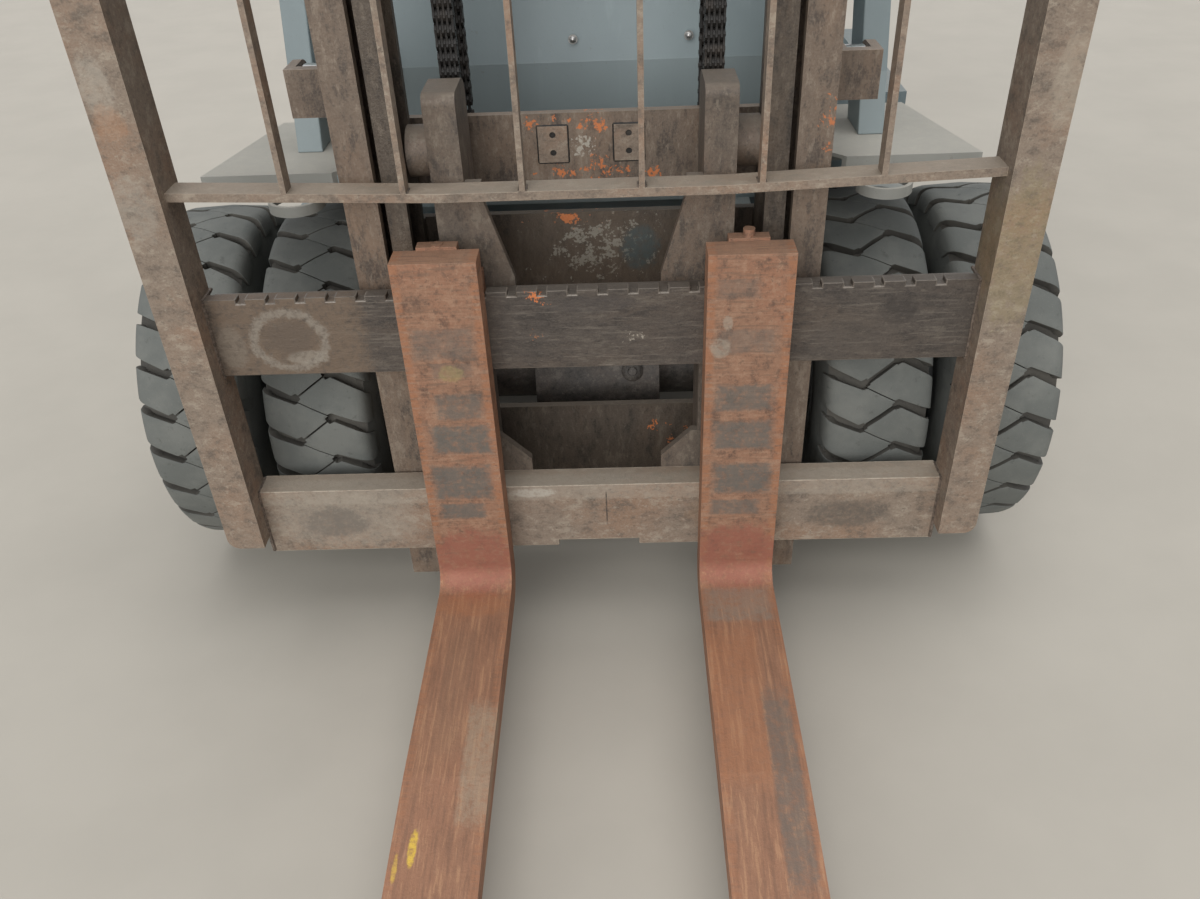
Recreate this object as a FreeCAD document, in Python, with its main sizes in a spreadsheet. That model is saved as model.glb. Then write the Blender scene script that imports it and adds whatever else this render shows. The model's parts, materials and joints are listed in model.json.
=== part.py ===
import FreeCAD
import Part
import Sketcher
import math
import os
import re

# Forklift truck of the 6 to 7 tonne class. Millimetres. +X is right seen from the front,
# -Y is the way the forks point, +Z is up. The floor is z = 0, and the origin is the
# middle of the machine's box on the floor.

SIZES = {
    # whole machine
    "wheelbase": 2250,
    "front_overhang": 575,
    "rear_overhang": 645,
    "blade_length": 1220,
    # forks
    "fork_wide": 160,
    "fork_thick": 60,
    "fork_tall": 834,
    "fork_raised": 133,
    "left_fork_place": -276,
    "right_fork_place": 302,
    "fork_tip_thick": 14,
    "fork_taper": 700,
    "fork_tip_wide": 90,
    "fork_tip_cut": 70,
    "heel_inside": 45,
    "heel_outside": 70,
    "fork_seat_gap": 0.5,
    "hook_side": 4,
    "latch_wide": 76,
    "latch_deep": 26,
    "latch_top": 972,
    "latch_pin": 11,
    "latch_raised": 14,
    # fork carriage
    "bar_half": 740,
    "bar_depth": 62,
    "bar_tall": 169,
    "upper_bar_low": 707,
    "lower_bar_low": 241,
    "bar_ridge": 25,
    "ridge_tall": 16,
    "hook_thick": 30,
    "hook_reach": 52,
    "notch_pitch": 58,
    "notch_wide": 16,
    "notch_deep": 9,
    "notch_count": 12,
    "drop_slot": 180,
    "side_plate_in": 220,
    "side_plate_wide": 60,
    "side_plate_deep": 138,
    "side_plate_top": 1230,
    "side_plate_low": 262,
    "plate_corner": 40,
    "plate_roller_in": 110,
    "plate_roller_top_in": 130,
    "gusset_thick": 18,
    "window_low_half": 142,
    "window_top_half": 189,
    "gusset_top": 1070,
    "gusset_shoulder": 1034,
    "low_gusset_top": 505,
    "low_gusset_step": 440,
    "anchor_wide": 40,
    "anchor_low": 700,
    "anchor_tall": 60,
    # load guard
    "post_wide": 78,
    "post_deep": 92,
    "post_front": 15,
    "post_low": 290,
    "post_corner": 26,
    "guard_top": 1600,
    "guard_rail_low": 1065,
    "guard_rail_sag": 17,
    "guard_sag_half": 260,
    "guard_rail_tall": 16,
    "guard_rail_deep": 55,
    "guard_rail_front": 40,
    "guard_bar_wide": 10,
    "guard_bar_deep": 34,
    "guard_bar_count": 6,
    # mast
    "mast_front": 130,
    "outer_out": 452,
    "outer_flange_wide": 64,
    "outer_deep": 180,
    "outer_flange": 22,
    "outer_web": 18,
    "outer_low": 105,
    "outer_top": 2470,
    "inner_out": 378,
    "inner_flange_wide": 40,
    "inner_deep": 146,
    "inner_flange": 20,
    "inner_web": 16,
    "inner_low": 190,
    "inner_top": 2590,
    "cross_thick": 18,
    "cross_lug": 14,
    "mast_roller_in": 90,
    "lift_ear": 30,
    "cheek_drop": 60,
    "cheek_foot": 40,
    "cheek_head": 30,
    "outer_cross_gap": 5,
    "roller_gap": 5,
    "roller_wide": 46,
    "roller_stub": 5,
    "roller_pin": 25,
    "tilt_bracket_high": 1200,
    "tilt_pin_back": 330,
    "tilt_pin": 20,
    "tilt_eye": 38,
    "tilt_eye_wide": 44,
    "tilt_base_back": 900,
    "tilt_base_high": 1100,
    "tilt_barrel": 45,
    "tilt_rod": 20,
    "tilt_centre": 515,
    "clevis_side_gap": 0.3,
    "clevis_plate": 18,
    "clevis_half": 45,
    "clevis_web": 22,
    "clevis_reach": 68,
    "pin_head": 24,
    "pin_head_thick": 8,
    "tilt_barrel_start": 62,
    "tilt_barrel_long": 293,
    "tilt_neck_long": 70,
    "tilt_well_start": 66,
    "tilt_stem_start": 227,
    "tilt_stem_short": 20,
    "tilt_base_half": 30,
    "pivot_ring": 130,
    "pivot_plate": 50,
    "pivot_inset": 4,
    "pivot_drop": 200,
    # lift cylinders and chains
    "lift_barrel": 42,
    "lift_bore": 34,
    "lift_rod": 27,
    "lift_centre": 420,
    "lift_barrel_low": 590,
    "lift_barrel_top": 2330,
    "lift_rod_low": 700,
    "shelf_thick": 30,
    "strap_low": 2300,
    "strap_tall": 24,
    "strap_wall": 12,
    "barrel_floor": 20,
    "barrel_cap": 40,
    "chain_centre": 248,
    "chain_wide": 38,
    "chain_deep": 28,
    "chain_front_back": 288,
    "chain_scallop": 95.25,
    "scallop_deep": 5,
    "sheave_pitch": 60,
    "sheave_flange": 5,
    "sheave_pin": 20,
    "sheave_bracket": 22,
    "rear_anchor_top": 1100,
    "rear_anchor_tall": 40,
    "run_gap": 0.3,
    # wheels
    "tyre_radius": 418,
    "tyre_wide": 246,
    "bead_radius": 190,
    "dual_spacing": 278,
    "drive_track_mid": 760,
    "lug_deep": 20,
    "tread_pitches": 26,
    "tread_shift": 0.42,
    "tread_phase": 0.4,
    "bead_half": 104,
    "rim_half": 107,
    "rim_wall": 12,
    "disc_thick": 32,
    "hub_out": 150,
    "hub_bore_out": 100,
    "spindle_out": 90,
    "differential_half": 150,
    "axle_pad_half": 60,
    "steer_disc": 28,
    "steer_hub": 85,
    "steer_hub_in": 60,
    "steer_hub_long": 170,
    "yoke_reach": 95,
    "yoke_thick": 20,
    "yoke_half": 50,
    "saddle_half": 90,
    "knuckle_drop": 34,
    "ram_barrel": 42,
    "ram_barrel_half": 240,
    "ram_rod": 18,
    "ram_eye": 28,
    "ram_eye_tall": 40,
    "ram_foot_in": 150,
    "ram_foot_wide": 60,
    "hub_radius": 110,
    "spindle": 50,
    "axle_tube": 85,
    "axle_end": 470,
    "differential": 165,
    "steer_track_half": 800,
    "kingpin_offset": 145,
    "kingpin": 26,
    "steer_beam_half": 60,
    "steer_beam_tall": 120,
    "steer_spindle": 36,
    "steer_arm_in": 125,
    "steer_arm_back": 110,
    "rear_rail_in": 195,
    # chassis
    "rail_in": 325,
    "rail_wide": 55,
    "rail_top": 800,
    "rail_low": 330,
    "floor_thick": 12,
    "tank_out": 955,
    "tank_corner": 40,
    "step_deep": 250,
    "step_high": 540,
    "fender_high": 1000,
    "fender_thick": 8,
    "fender_in": 470,
    "fender_out": 811,
    "fender_out_back": 727,
    "fender_front": 370,
    "fender_bend": 719,
    "fender_foot": 935,
    "fender_corner": 65,
    "fender_lip": 26,
    "lamp_ring_x": 607,
    "lamp_ring_back": 332,
    "lamp_ring": 57,
    "lamp_ring_low": 950,
    "lamp_ring_tall": 22,
    "lamp_ring_wall": 8,
    "cowl_front": 690,
    "cowl_half": 430,
    "cowl_sheet": 6,
    "cowl_bend": 1131,
    "cowl_top": 1360,
    "hood_front": 1570,
    "hood_half": 455,
    "hood_top": 1190,
    "hood_sheet": 6,
    "hood_round": 45,
    "seat_half": 250,
    "seat_front": 1660,
    "seat_deep": 470,
    "seat_thick": 140,
    "seat_round": 60,
    "back_front": 2131,
    "back_corner": 30,
    "weight_front": 2572,
    "weight_half": 960,
    "weight_top": 1200,
    "weight_arch_top": 905,
    "weight_low": 270,
    "weight_corner": 200,
    "weight_tail_round": 400,
    "weight_slope": 90,
    "weight_slope_drop": 60,
    "arch_radius": 520,
    "airway_half": 300,
    "airway_low": 940,
    "airway_tall": 190,
    "slat_count": 6,
    "slat_pitch": 30,
    "tow_back": 60,
    "tow_hole": 22,
    "tow_head": 36,
    "tow_head_thick": 24,
    "tow_low": 450,
    "tow_top": 680,
    "engine_half": 280,
    "engine_front": 1020,
    "engine_low": 560,
    "engine_long": 600,
    "engine_tall": 480,
    "hinge_pin": 10,
    "guard_roof_low": 2330,
    "guard_roof_tall": 60,
    "guard_out": 637,
    "guard_tube": 55,
    "guard_roof_front": 870,
    "guard_roof_long": 1580,
    "roof_bar_first": 1070,
    "roof_bar_pitch": 165,
    "roof_bar_count": 8,
    "roof_bar_wide": 16,
    "roof_bar_tall": 40,
    "front_leg_foot": 500,
    "front_leg_roof": 880,
    "front_leg_deep": 120,
    "front_leg_top_deep": 80,
    "rear_leg_roof": 2340,
    "rear_leg_foot": 2600,
    # driver's place
    "column_lean": 25,
    "column_long": 740,
    "column_radius": 28,
    "column_x": -60,
    "column_back": 774,
    "wheel_radius": 180,
    "wheel_grip": 13,
    "lever_count": 3,
    "lever_pitch": 70,
    "lever_tall": 140,
    "head_lamp_back": 662,
    "head_lamp_high": 1850,
    "head_lamp": 62,
    "rear_lamp": 45,
    "rear_lamp_back": 2702,
}

# Places and sizes that follow from the table above. Y runs back from the forks' front face.
PLACES = {
    "length_half": "(blade_length + front_overhang + wheelbase + rear_overhang) / 2",
    "face": "blade_length - length_half",
    "drive_y": "face + front_overhang",
    "steer_y": "drive_y + wheelbase",
    "tail_y": "steer_y + rear_overhang",
    "blade_top": "fork_raised + fork_thick",
    "fork_back": "face + fork_thick",
    "fork_top": "fork_raised + fork_tall",
    "bar_front": "face + fork_thick + fork_seat_gap",
    "bar_back": "bar_front + bar_depth",
    "upper_bar_top": "upper_bar_low + bar_tall",
    "outer_y": "face + mast_front",
    "outer_back": "outer_y + outer_deep",
    "inner_y": "outer_y + (outer_deep - inner_deep) / 2",
    "inner_back": "inner_y + inner_deep",
    "roller_y": "outer_y + outer_deep / 2",
    "inner_cross_y": "inner_back + cross_lug",
    "outer_cross_y": "inner_cross_y + cross_thick + outer_cross_gap",
    "outer_cross_back": "outer_cross_y + cross_thick + 2",
    "pin_y": "face + tilt_pin_back",
    "clevis_y": "pin_y - clevis_reach",
    "base_y": "face + tilt_base_back",
    "lift_y": "outer_cross_back + lift_barrel + 6",
    "chain_front_y": "face + chain_front_back",
    "chain_rear_y": "chain_front_y + 2 * sheave_pitch",
    "sheave_y": "chain_front_y + sheave_pitch",
    "sheave_z": "inner_top + sheave_pitch + chain_deep / 2 + 8",
    "axle_z": "tyre_radius",
    "kingpin_half": "steer_track_half - kingpin_offset",
    "kingpin_low": "axle_z - steer_beam_tall / 2",
    "floor_top": "rail_top + floor_thick",
    "fender_top": "fender_high + fender_thick",
    "weight_y": "face + weight_front",
    "hinge_y": "weight_y - 2.5",
    "hinge_z": "weight_top + 10",
    "tow_y": "tail_y - tow_back",
    "guard_in": "guard_out - guard_tube",
}

doc = FreeCAD.newDocument("forklift")
sheet = doc.addObject("Spreadsheet::Sheet", "dims")
for row, (alias, number) in enumerate(SIZES.items(), start=1):
    sheet.set("A%d" % row, alias)
    sheet.set("B%d" % row, str(number))
    sheet.setAlias("B%d" % row, alias)
doc.recompute()


def bind(text):
    """Write a length given in the tables' names as an expression over the sheet's cells."""
    def swap(match):
        word = match.group(0)
        if word in PLACES:
            return "(" + bind(PLACES[word]) + ")"
        if word in SIZES:
            return "dims." + word
        return word
    return re.sub(r"[a-z][a-z_0-9]*", swap, str(text))


def num(text):
    """The present value of an expression, for shapes that are worked out point by point."""
    return float(sheet.evalExpression(bind(text)))


def place(thing, x=0, y=0, z=0):
    for axis, text in (("x", x), ("y", y), ("z", z)):
        thing.setExpression(".Placement.Base." + axis, bind(text))
    return thing


def block(x, y, z, wide, deep, tall):
    """A box from its low corner and its sizes along X, Y and Z."""
    box = doc.addObject("Part::Box", "block")
    for name, text in (("Length", wide), ("Width", deep), ("Height", tall)):
        box.setExpression(name, bind(text))
    return place(box, x, y, z)


def vec(x, y, z):
    return FreeCAD.Vector(x, y, z)


TURNS = {"x": (vec(0, 1, 0), 90), "y": (vec(1, 0, 0), -90), "z": (vec(0, 0, 1), 0)}


def rod(axis, x, y, z, radius, length):
    """A round bar that starts at x, y, z and runs along +X, +Y or +Z."""
    bar = doc.addObject("Part::Cylinder", "bar")
    bar.setExpression("Radius", bind(radius))
    bar.setExpression("Height", bind(length))
    bar.Placement.Rotation = FreeCAD.Rotation(*TURNS[axis])
    return place(bar, x, y, z)


def plate(role, start, outline, thick, holes=(), rounds=()):
    """A flat plate: a closed outline in a plane, padded along +X, +Y or +Z from the given place.
    Each hole is u, v and radius. Each of the rounds is a corner's place in the outline and a radius."""
    body = doc.addObject("PartDesign::Body", "plate")
    plane = [item for item in body.Origin.OriginFeatures if item.Role == role][0]
    sketch = body.newObject("Sketcher::SketchObject", "outline")
    sketch.AttachmentSupport = [(plane, "")]
    sketch.MapMode = "FlatFace"
    sign = -1 if role == "XZ_Plane" else 1
    sketch.setExpression(".AttachmentOffset.Base.z", bind("%d * (%s)" % (sign, start)))
    corners = [(num(u), num(v)) for u, v in outline]
    count = len(corners)
    for index in range(count):
        here = FreeCAD.Vector(*corners[index], 0)
        after = FreeCAD.Vector(*corners[(index + 1) % count], 0)
        sketch.addGeometry(Part.LineSegment(here, after))
    for index in range(count):
        sketch.addConstraint(Sketcher.Constraint("Coincident", index, 2, (index + 1) % count, 1))
    for index, (pair, texts) in enumerate(zip(corners, outline)):
        for kind, value, text in (("DistanceX", pair[0], texts[0]), ("DistanceY", pair[1], texts[1])):
            which = sketch.addConstraint(Sketcher.Constraint(kind, -1, 1, index, 1, value))
            sketch.setExpression("Constraints[%d]" % which, bind(text))
    for corner, radius in rounds:
        nearby = [vec(*corners[corner], 0) + vec(*corners[other % count], 0)
                  for other in (corner - 1, corner + 1)]
        arc = sketch.GeometryCount
        sketch.fillet((corner - 1) % count, corner, nearby[0] * 0.5, nearby[1] * 0.5,
                      num(radius), True, True)
        which = sketch.addConstraint(Sketcher.Constraint("Radius", arc, num(radius)))
        sketch.setExpression("Constraints[%d]" % which, bind(radius))
    for u, v, radius in holes:
        centre = FreeCAD.Vector(num(u), num(v), 0)
        ring = sketch.addGeometry(Part.Circle(centre, FreeCAD.Vector(0, 0, 1), num(radius)))
        for kind, value, text in (("DistanceX", centre.x, u), ("DistanceY", centre.y, v)):
            which = sketch.addConstraint(Sketcher.Constraint(kind, -1, 1, ring, 3, value))
            sketch.setExpression("Constraints[%d]" % which, bind(text))
        which = sketch.addConstraint(Sketcher.Constraint("Radius", ring, num(radius)))
        sketch.setExpression("Constraints[%d]" % which, bind(radius))
    pad = body.newObject("PartDesign::Pad", "pad")
    pad.Profile = sketch
    pad.setExpression("Length", bind(thick))
    pad.Reversed = role == "XZ_Plane"
    sketch.Visibility = False
    return body


def fuse(*things):
    joined = doc.addObject("Part::MultiFuse", "joined")
    joined.Shapes = list(things)
    joined.Refine = True
    return joined


def cut(base, *tools):
    result = doc.addObject("Part::Cut", "cut")
    result.Base = base
    result.Tool = tools[0] if len(tools) == 1 else fuse(*tools)
    result.Refine = True
    return result


def mirror(thing):
    """The same thing on the other side of the machine's middle plane."""
    copy = doc.addObject("Part::Mirroring", "mirrored")
    copy.Source = thing
    copy.Normal = FreeCAD.Vector(1, 0, 0)
    return copy


def both(thing):
    return fuse(thing, mirror(thing))


def fixed(shape):
    """A shape that is worked out in code from the sheet's values."""
    thing = doc.addObject("Part::Feature", "shape")
    thing.Shape = shape
    return thing


NODES = {}


def node(name, thing):
    thing.Label = name
    NODES[name] = thing
    return thing


# Forks

def fork(centre, latch_top):
    """A forged fork: shank, heel and tapered blade, with the hooks and latch that hold it on the bars."""
    side = [
        ("face", "fork_top"), ("fork_back", "fork_top"), ("fork_back", "fork_raised"),
        ("face - blade_length", "fork_raised"), ("face - blade_length", "fork_raised + fork_tip_thick"),
        ("face - blade_length + fork_taper", "blade_top"), ("face", "blade_top"),
    ]
    body = plate("YZ_Plane", "%s - fork_wide / 2" % centre, side, "fork_wide",
                 rounds=[(2, "heel_outside"), (6, "heel_inside")])
    tips = []
    for sign in (-1, 1):
        edge = "%s + (%d) * fork_wide / 2" % (centre, sign)
        corner = "%s + (%d) * fork_tip_wide / 2" % (centre, sign)
        far = "%s + (%d) * fork_wide" % (centre, sign)
        outline = [
            (corner, "face - blade_length"), (edge, "face - blade_length + fork_tip_cut"),
            (far, "face - blade_length + fork_tip_cut"), (far, "face - blade_length - fork_tip_cut"),
            (corner, "face - blade_length - fork_tip_cut"),
        ]
        tips.append(plate("XY_Plane", "fork_raised - fork_tip_thick", outline, "fork_thick"))
    left = "%s - fork_wide / 2 + hook_side" % centre
    wide = "fork_wide - 2 * hook_side"
    catch_y = "bar_front + bar_ridge + fork_seat_gap"
    catch_deep = "fork_back + hook_reach - (%s)" % catch_y
    hooks = []
    for hook_low, catch_low in (
            ("upper_bar_top + fork_seat_gap", "upper_bar_top - ridge_tall + fork_seat_gap"),
            ("lower_bar_low - fork_seat_gap - hook_thick", "lower_bar_low - fork_seat_gap")):
        hooks.append(block(left, "fork_back", hook_low, wide, "hook_reach", "hook_thick"))
        hooks.append(block(left, catch_y, catch_low, wide, catch_deep, "ridge_tall"))
    latch_low = "upper_bar_top + fork_seat_gap + hook_thick"
    latch = block("%s - latch_wide / 2" % centre, "fork_back", latch_low, "latch_wide", "latch_deep",
                  "latch_top - (%s)" % latch_low)
    pin = rod("z", centre, "fork_back + latch_deep / 2", latch_low, "latch_pin",
              "%s - (%s)" % (latch_top, latch_low))
    return fuse(cut(body, *tips), latch, pin, *hooks)


node("fork_left", fork("left_fork_place", "latch_top + 2"))
node("fork_right", fork("right_fork_place", "latch_top + latch_raised"))


# Fork carriage

bar = block("-bar_half", "bar_front", "upper_bar_low", "2 * bar_half", "bar_depth", "bar_tall")
seat = block("-bar_half", "bar_front + bar_ridge", "upper_bar_top - ridge_tall", "2 * bar_half",
             "bar_depth", "bar_tall")
notches = []
for index in range(SIZES["notch_count"]):
    for sign in (-1, 1):
        middle = "(%d) * (%d + 0.5) * notch_pitch" % (sign, index)
        notches.append(block("%s - notch_wide / 2" % middle, "bar_front - 5", "upper_bar_top - notch_deep",
                             "notch_wide", "bar_ridge + 10", "2 * notch_deep"))
node("carriage_upper_bar", cut(bar, seat, *notches))

bar = block("-bar_half", "bar_front", "lower_bar_low", "2 * bar_half", "bar_depth", "bar_tall")
seat = block("-bar_half", "bar_front + bar_ridge", "lower_bar_low + ridge_tall - bar_tall",
             "2 * bar_half", "bar_depth", "bar_tall")
slot = block("-drop_slot / 2", "bar_front - 5", "lower_bar_low - 5", "drop_slot", "bar_ridge + 10",
             "ridge_tall + 5")
node("carriage_lower_bar", cut(bar, seat, slot))

side = plate("YZ_Plane", "side_plate_in", [
    ("bar_back", "side_plate_low"), ("bar_back + side_plate_deep", "side_plate_low"),
    ("bar_back + side_plate_deep", "side_plate_top"), ("bar_back", "side_plate_top")], "side_plate_wide",
    rounds=[(2, "plate_corner"), (3, "plate_corner / 2")])
gusset = plate("XZ_Plane", "bar_back", [
    ("side_plate_in", "upper_bar_low"), ("window_low_half", "upper_bar_low"),
    ("window_low_half", "upper_bar_top"),
    ("window_top_half", "gusset_shoulder"), ("window_top_half", "gusset_top"),
    ("side_plate_in", "gusset_top")],
    "gusset_thick")
low_gusset = plate("XZ_Plane", "bar_back", [
    ("side_plate_in", "lower_bar_low + ridge_tall"), ("window_low_half", "lower_bar_low + ridge_tall"),
    ("window_low_half", "low_gusset_step"),
    ("window_low_half + low_gusset_top - low_gusset_step", "low_gusset_top"),
    ("side_plate_in", "low_gusset_top")], "gusset_thick")
plate_out = "side_plate_in + side_plate_wide"
parts = [side, gusset, low_gusset]
for high in ("side_plate_low + plate_roller_in", "side_plate_top - plate_roller_top_in"):
    parts.append(rod("x", plate_out, "roller_y", high, "roller_pin", "roller_stub"))
    parts.append(rod("x", plate_out + " + roller_stub", "roller_y", high,
                     "inner_deep / 2 - inner_flange - roller_gap", "roller_wide"))
parts.append(block("chain_centre - anchor_wide / 2", "bar_back + side_plate_deep", "anchor_low",
                   "anchor_wide", "chain_front_y + chain_deep / 2 - bar_back - side_plate_deep",
                   "anchor_tall"))
half_carriage = fuse(*parts)
node("carriage_plates", both(half_carriage))

post = plate("XZ_Plane", "face + post_front", [
    ("bar_half", "post_low"), ("bar_half + post_wide", "post_low"), ("bar_half + post_wide", "guard_top"),
    ("bar_half", "guard_top")], "post_deep", rounds=[(1, "post_corner")])
pieces = [both(post)]
for low, sag in (("guard_rail_low", "guard_rail_sag"), ("guard_top - guard_rail_tall", "0")):
    end = "%s + %s" % (low, sag)
    pieces.append(plate("XZ_Plane", "face + guard_rail_front", [
        ("-bar_half", end), ("-guard_sag_half", low), ("guard_sag_half", low), ("bar_half", end),
        ("bar_half", end + " + guard_rail_tall"), ("guard_sag_half", low + " + guard_rail_tall"),
        ("-guard_sag_half", low + " + guard_rail_tall"), ("-bar_half", end + " + guard_rail_tall")],
        "guard_rail_deep"))
for index in range(SIZES["guard_bar_count"]):
    middle = "(2 * (%d + 1) / (guard_bar_count + 1) - 1) * bar_half" % index
    low = "guard_rail_low + guard_rail_tall - 1"
    pieces.append(block("%s - guard_bar_wide / 2" % middle, "face + guard_rail_front", low,
                        "guard_bar_wide", "guard_bar_deep", "guard_top - (%s)" % low))
node("load_guard", fuse(*pieces))


# Mast: outer stage

def channel(out, flange_wide, y, deep, flange, web, low, top):
    """A mast channel on the right side, open towards the middle."""
    near = "%s - %s" % (out, flange_wide)
    wall = "%s - %s" % (out, web)
    back = "%s + %s" % (y, deep)
    outline = [
        (near, y), (out, y), (out, back), (near, back), (near, "%s - %s" % (back, flange)),
        (wall, "%s - %s" % (back, flange)), (wall, "%s + %s" % (y, flange)), (near, "%s + %s" % (y, flange))]
    return plate("XY_Plane", low, outline, "%s - %s" % (top, low))


# Each crossmember: its low edge and its height
OUTER_CROSS = (("200", "110"), ("982", "146"), ("2280", "120"))
outer = [both(channel("outer_out", "outer_flange_wide", "outer_y", "outer_deep", "outer_flange", "outer_web",
                      "outer_low", "outer_top"))]
for low, tall in OUTER_CROSS:
    outer.append(block("-outer_out", "outer_cross_y", low, "2 * outer_out",
                       "outer_cross_back - outer_cross_y", tall))
    outer.append(both(block("outer_out - outer_flange_wide", "outer_back", low, "outer_flange_wide",
                            "outer_cross_y - outer_back", tall)))
pivot_in = "outer_out - pivot_inset - pivot_plate"
ear = plate("YZ_Plane", pivot_in, [
    ("outer_back", "axle_z - pivot_drop"), ("drive_y", "axle_z - pivot_ring"),
    ("drive_y", "axle_z + pivot_ring"), ("lift_y + lift_barrel", "lift_barrel_low - shelf_thick"),
    ("outer_back", "lift_barrel_low - shelf_thick")], "pivot_plate")
ring = rod("x", pivot_in, "drive_y", "axle_z", "pivot_ring", "pivot_plate")
bore = rod("x", pivot_in + " - 60", "drive_y", "axle_z", "axle_tube + run_gap", "pivot_plate + 100")
outer.append(both(cut(fuse(ear, ring), bore)))
shelf = block("outer_out - outer_flange_wide", "outer_back", "lift_barrel_low - shelf_thick",
              "outer_flange_wide", "lift_y + lift_barrel - outer_back", "shelf_thick")
outer.append(both(shelf))
strap = cut(rod("z", "lift_centre", "lift_y", "strap_low", "lift_barrel + strap_wall", "strap_tall"),
            rod("z", "lift_centre", "lift_y", "strap_low - 10", "lift_barrel + run_gap", "strap_tall + 20"))
outer.append(both(strap))

# The clevis that holds the tilt cylinder's eye: two rounded ears, a web in front and the pin's head
clevis_in = "tilt_centre - tilt_eye_wide / 2 - clevis_side_gap"
clevis_out = "tilt_centre + tilt_eye_wide / 2 + clevis_side_gap"
clevis_low = "tilt_bracket_high - clevis_half"
clevis = [block("outer_out", "clevis_y", clevis_low, clevis_out + " + clevis_plate - outer_out",
                "clevis_web", "2 * clevis_half")]
# Each ear: where its flat part starts, where its round part starts, clear of the lift cylinder, and its end
EARS = (("outer_out", "lift_centre + lift_barrel + run_gap", clevis_in),
        (clevis_out, clevis_out, clevis_out + " + clevis_plate"))
for flat, bulge, end in EARS:
    clevis.append(block(flat, "clevis_y", clevis_low, "%s - (%s)" % (end, flat), "clevis_reach",
                        "2 * clevis_half"))
    clevis.append(rod("x", bulge, "pin_y", "tilt_bracket_high", "clevis_half", "%s - (%s)" % (end, bulge)))
clevis.append(rod("x", clevis_out + " + clevis_plate", "pin_y", "tilt_bracket_high", "pin_head",
                  "pin_head_thick"))
outer.append(both(fuse(*clevis)))
anchor = block("chain_centre - anchor_wide / 2", "outer_cross_back", "rear_anchor_top - rear_anchor_tall",
               "anchor_wide", "chain_rear_y + chain_deep / 2 - outer_cross_back", "rear_anchor_tall")
outer.append(both(anchor))
node("outer_mast", fuse(*outer))

barrel = cut(rod("z", "lift_centre", "lift_y", "lift_barrel_low", "lift_barrel",
                 "lift_barrel_top - lift_barrel_low"),
             rod("z", "lift_centre", "lift_y", "lift_barrel_low + barrel_floor", "lift_bore",
                 "lift_barrel_top - lift_barrel_low - barrel_floor - barrel_cap"),
             rod("z", "lift_centre", "lift_y", "lift_barrel_low + barrel_floor", "lift_rod + run_gap",
                 "lift_barrel_top - lift_barrel_low"))
node("lift_cylinders", both(barrel))


# Mast: inner stage

INNER_CROSS = (("270", "186"), ("762", "169"), ("2450", "140"))
inner = [both(channel("inner_out", "inner_flange_wide", "inner_y", "inner_deep", "inner_flange", "inner_web",
                      "inner_low", "inner_top"))]
for low, tall in INNER_CROSS:
    inner.append(block("-inner_out", "inner_cross_y", low, "2 * inner_out", "cross_thick", tall))
    inner.append(both(block("inner_out - inner_flange_wide", "inner_back", low, "inner_flange_wide",
                            "inner_cross_y - inner_back", tall)))
ear = block("inner_out - inner_flange_wide", "inner_cross_y", "inner_top - lift_ear",
            "lift_centre + lift_barrel - inner_out + inner_flange_wide",
            "lift_y + lift_barrel - inner_cross_y", "lift_ear")
inner.append(both(ear))
roller = fuse(rod("x", "inner_out", "roller_y", "inner_low + mast_roller_in", "roller_pin", "roller_stub"),
              rod("x", "inner_out + roller_stub", "roller_y", "inner_low + mast_roller_in",
                  "outer_deep / 2 - outer_flange - roller_gap", "roller_wide"))
inner.append(both(roller))
cheek_in = "chain_centre - chain_wide / 2 - sheave_flange - 4 - sheave_bracket"
cheek = fuse(
    plate("YZ_Plane", cheek_in, [
        ("inner_cross_y", "inner_top - cheek_drop"), ("inner_cross_y + cheek_foot",
                                                      "inner_top - cheek_drop"),
        ("sheave_y + cheek_foot", "inner_top"), ("sheave_y + cheek_head", "sheave_z + cheek_head"),
        ("sheave_y - cheek_head", "sheave_z + cheek_head"), ("inner_cross_y", "inner_top")],
        "sheave_bracket"),
    rod("x", cheek_in + " + sheave_bracket", "sheave_y", "sheave_z", "sheave_pin",
        "sheave_flange * 2 + chain_wide + 10"))
inner.append(both(cheek))
node("inner_mast", fuse(*inner))

lift_rod_body = rod("z", "lift_centre", "lift_y", "lift_rod_low", "lift_rod",
                    "inner_top - lift_ear - lift_rod_low")
node("lift_rods", both(lift_rod_body))

sheave_in = "chain_centre - chain_wide / 2 - sheave_flange - 1"
wheel = fuse(
    rod("x", sheave_in, "sheave_y", "sheave_z", "sheave_pitch + chain_deep / 2", "sheave_flange"),
    rod("x", sheave_in, "sheave_y", "sheave_z", "sheave_pitch - chain_deep / 2",
        "chain_wide + 2 * sheave_flange + 2"),
    rod("x", sheave_in + " + sheave_flange + chain_wide + 2", "sheave_y", "sheave_z",
        "sheave_pitch + chain_deep / 2", "sheave_flange"))
hole = rod("x", sheave_in + " - 5", "sheave_y", "sheave_z", "sheave_pin + run_gap", "chain_wide + 60")
wrap = cut(rod("x", "chain_centre - chain_wide / 2", "sheave_y", "sheave_z",
               "sheave_pitch + chain_deep / 2 - 1", "chain_wide"),
           rod("x", "chain_centre - chain_wide / 2 - 5", "sheave_y", "sheave_z",
               "sheave_pitch - chain_deep / 2 - 1", "chain_wide + 10"),
           block("chain_centre - 100", "sheave_y - 150", "sheave_z - 300", "200", "300", "300"))
node("chain_sheaves", both(cut(fuse(wheel, wrap), hole)))

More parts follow.
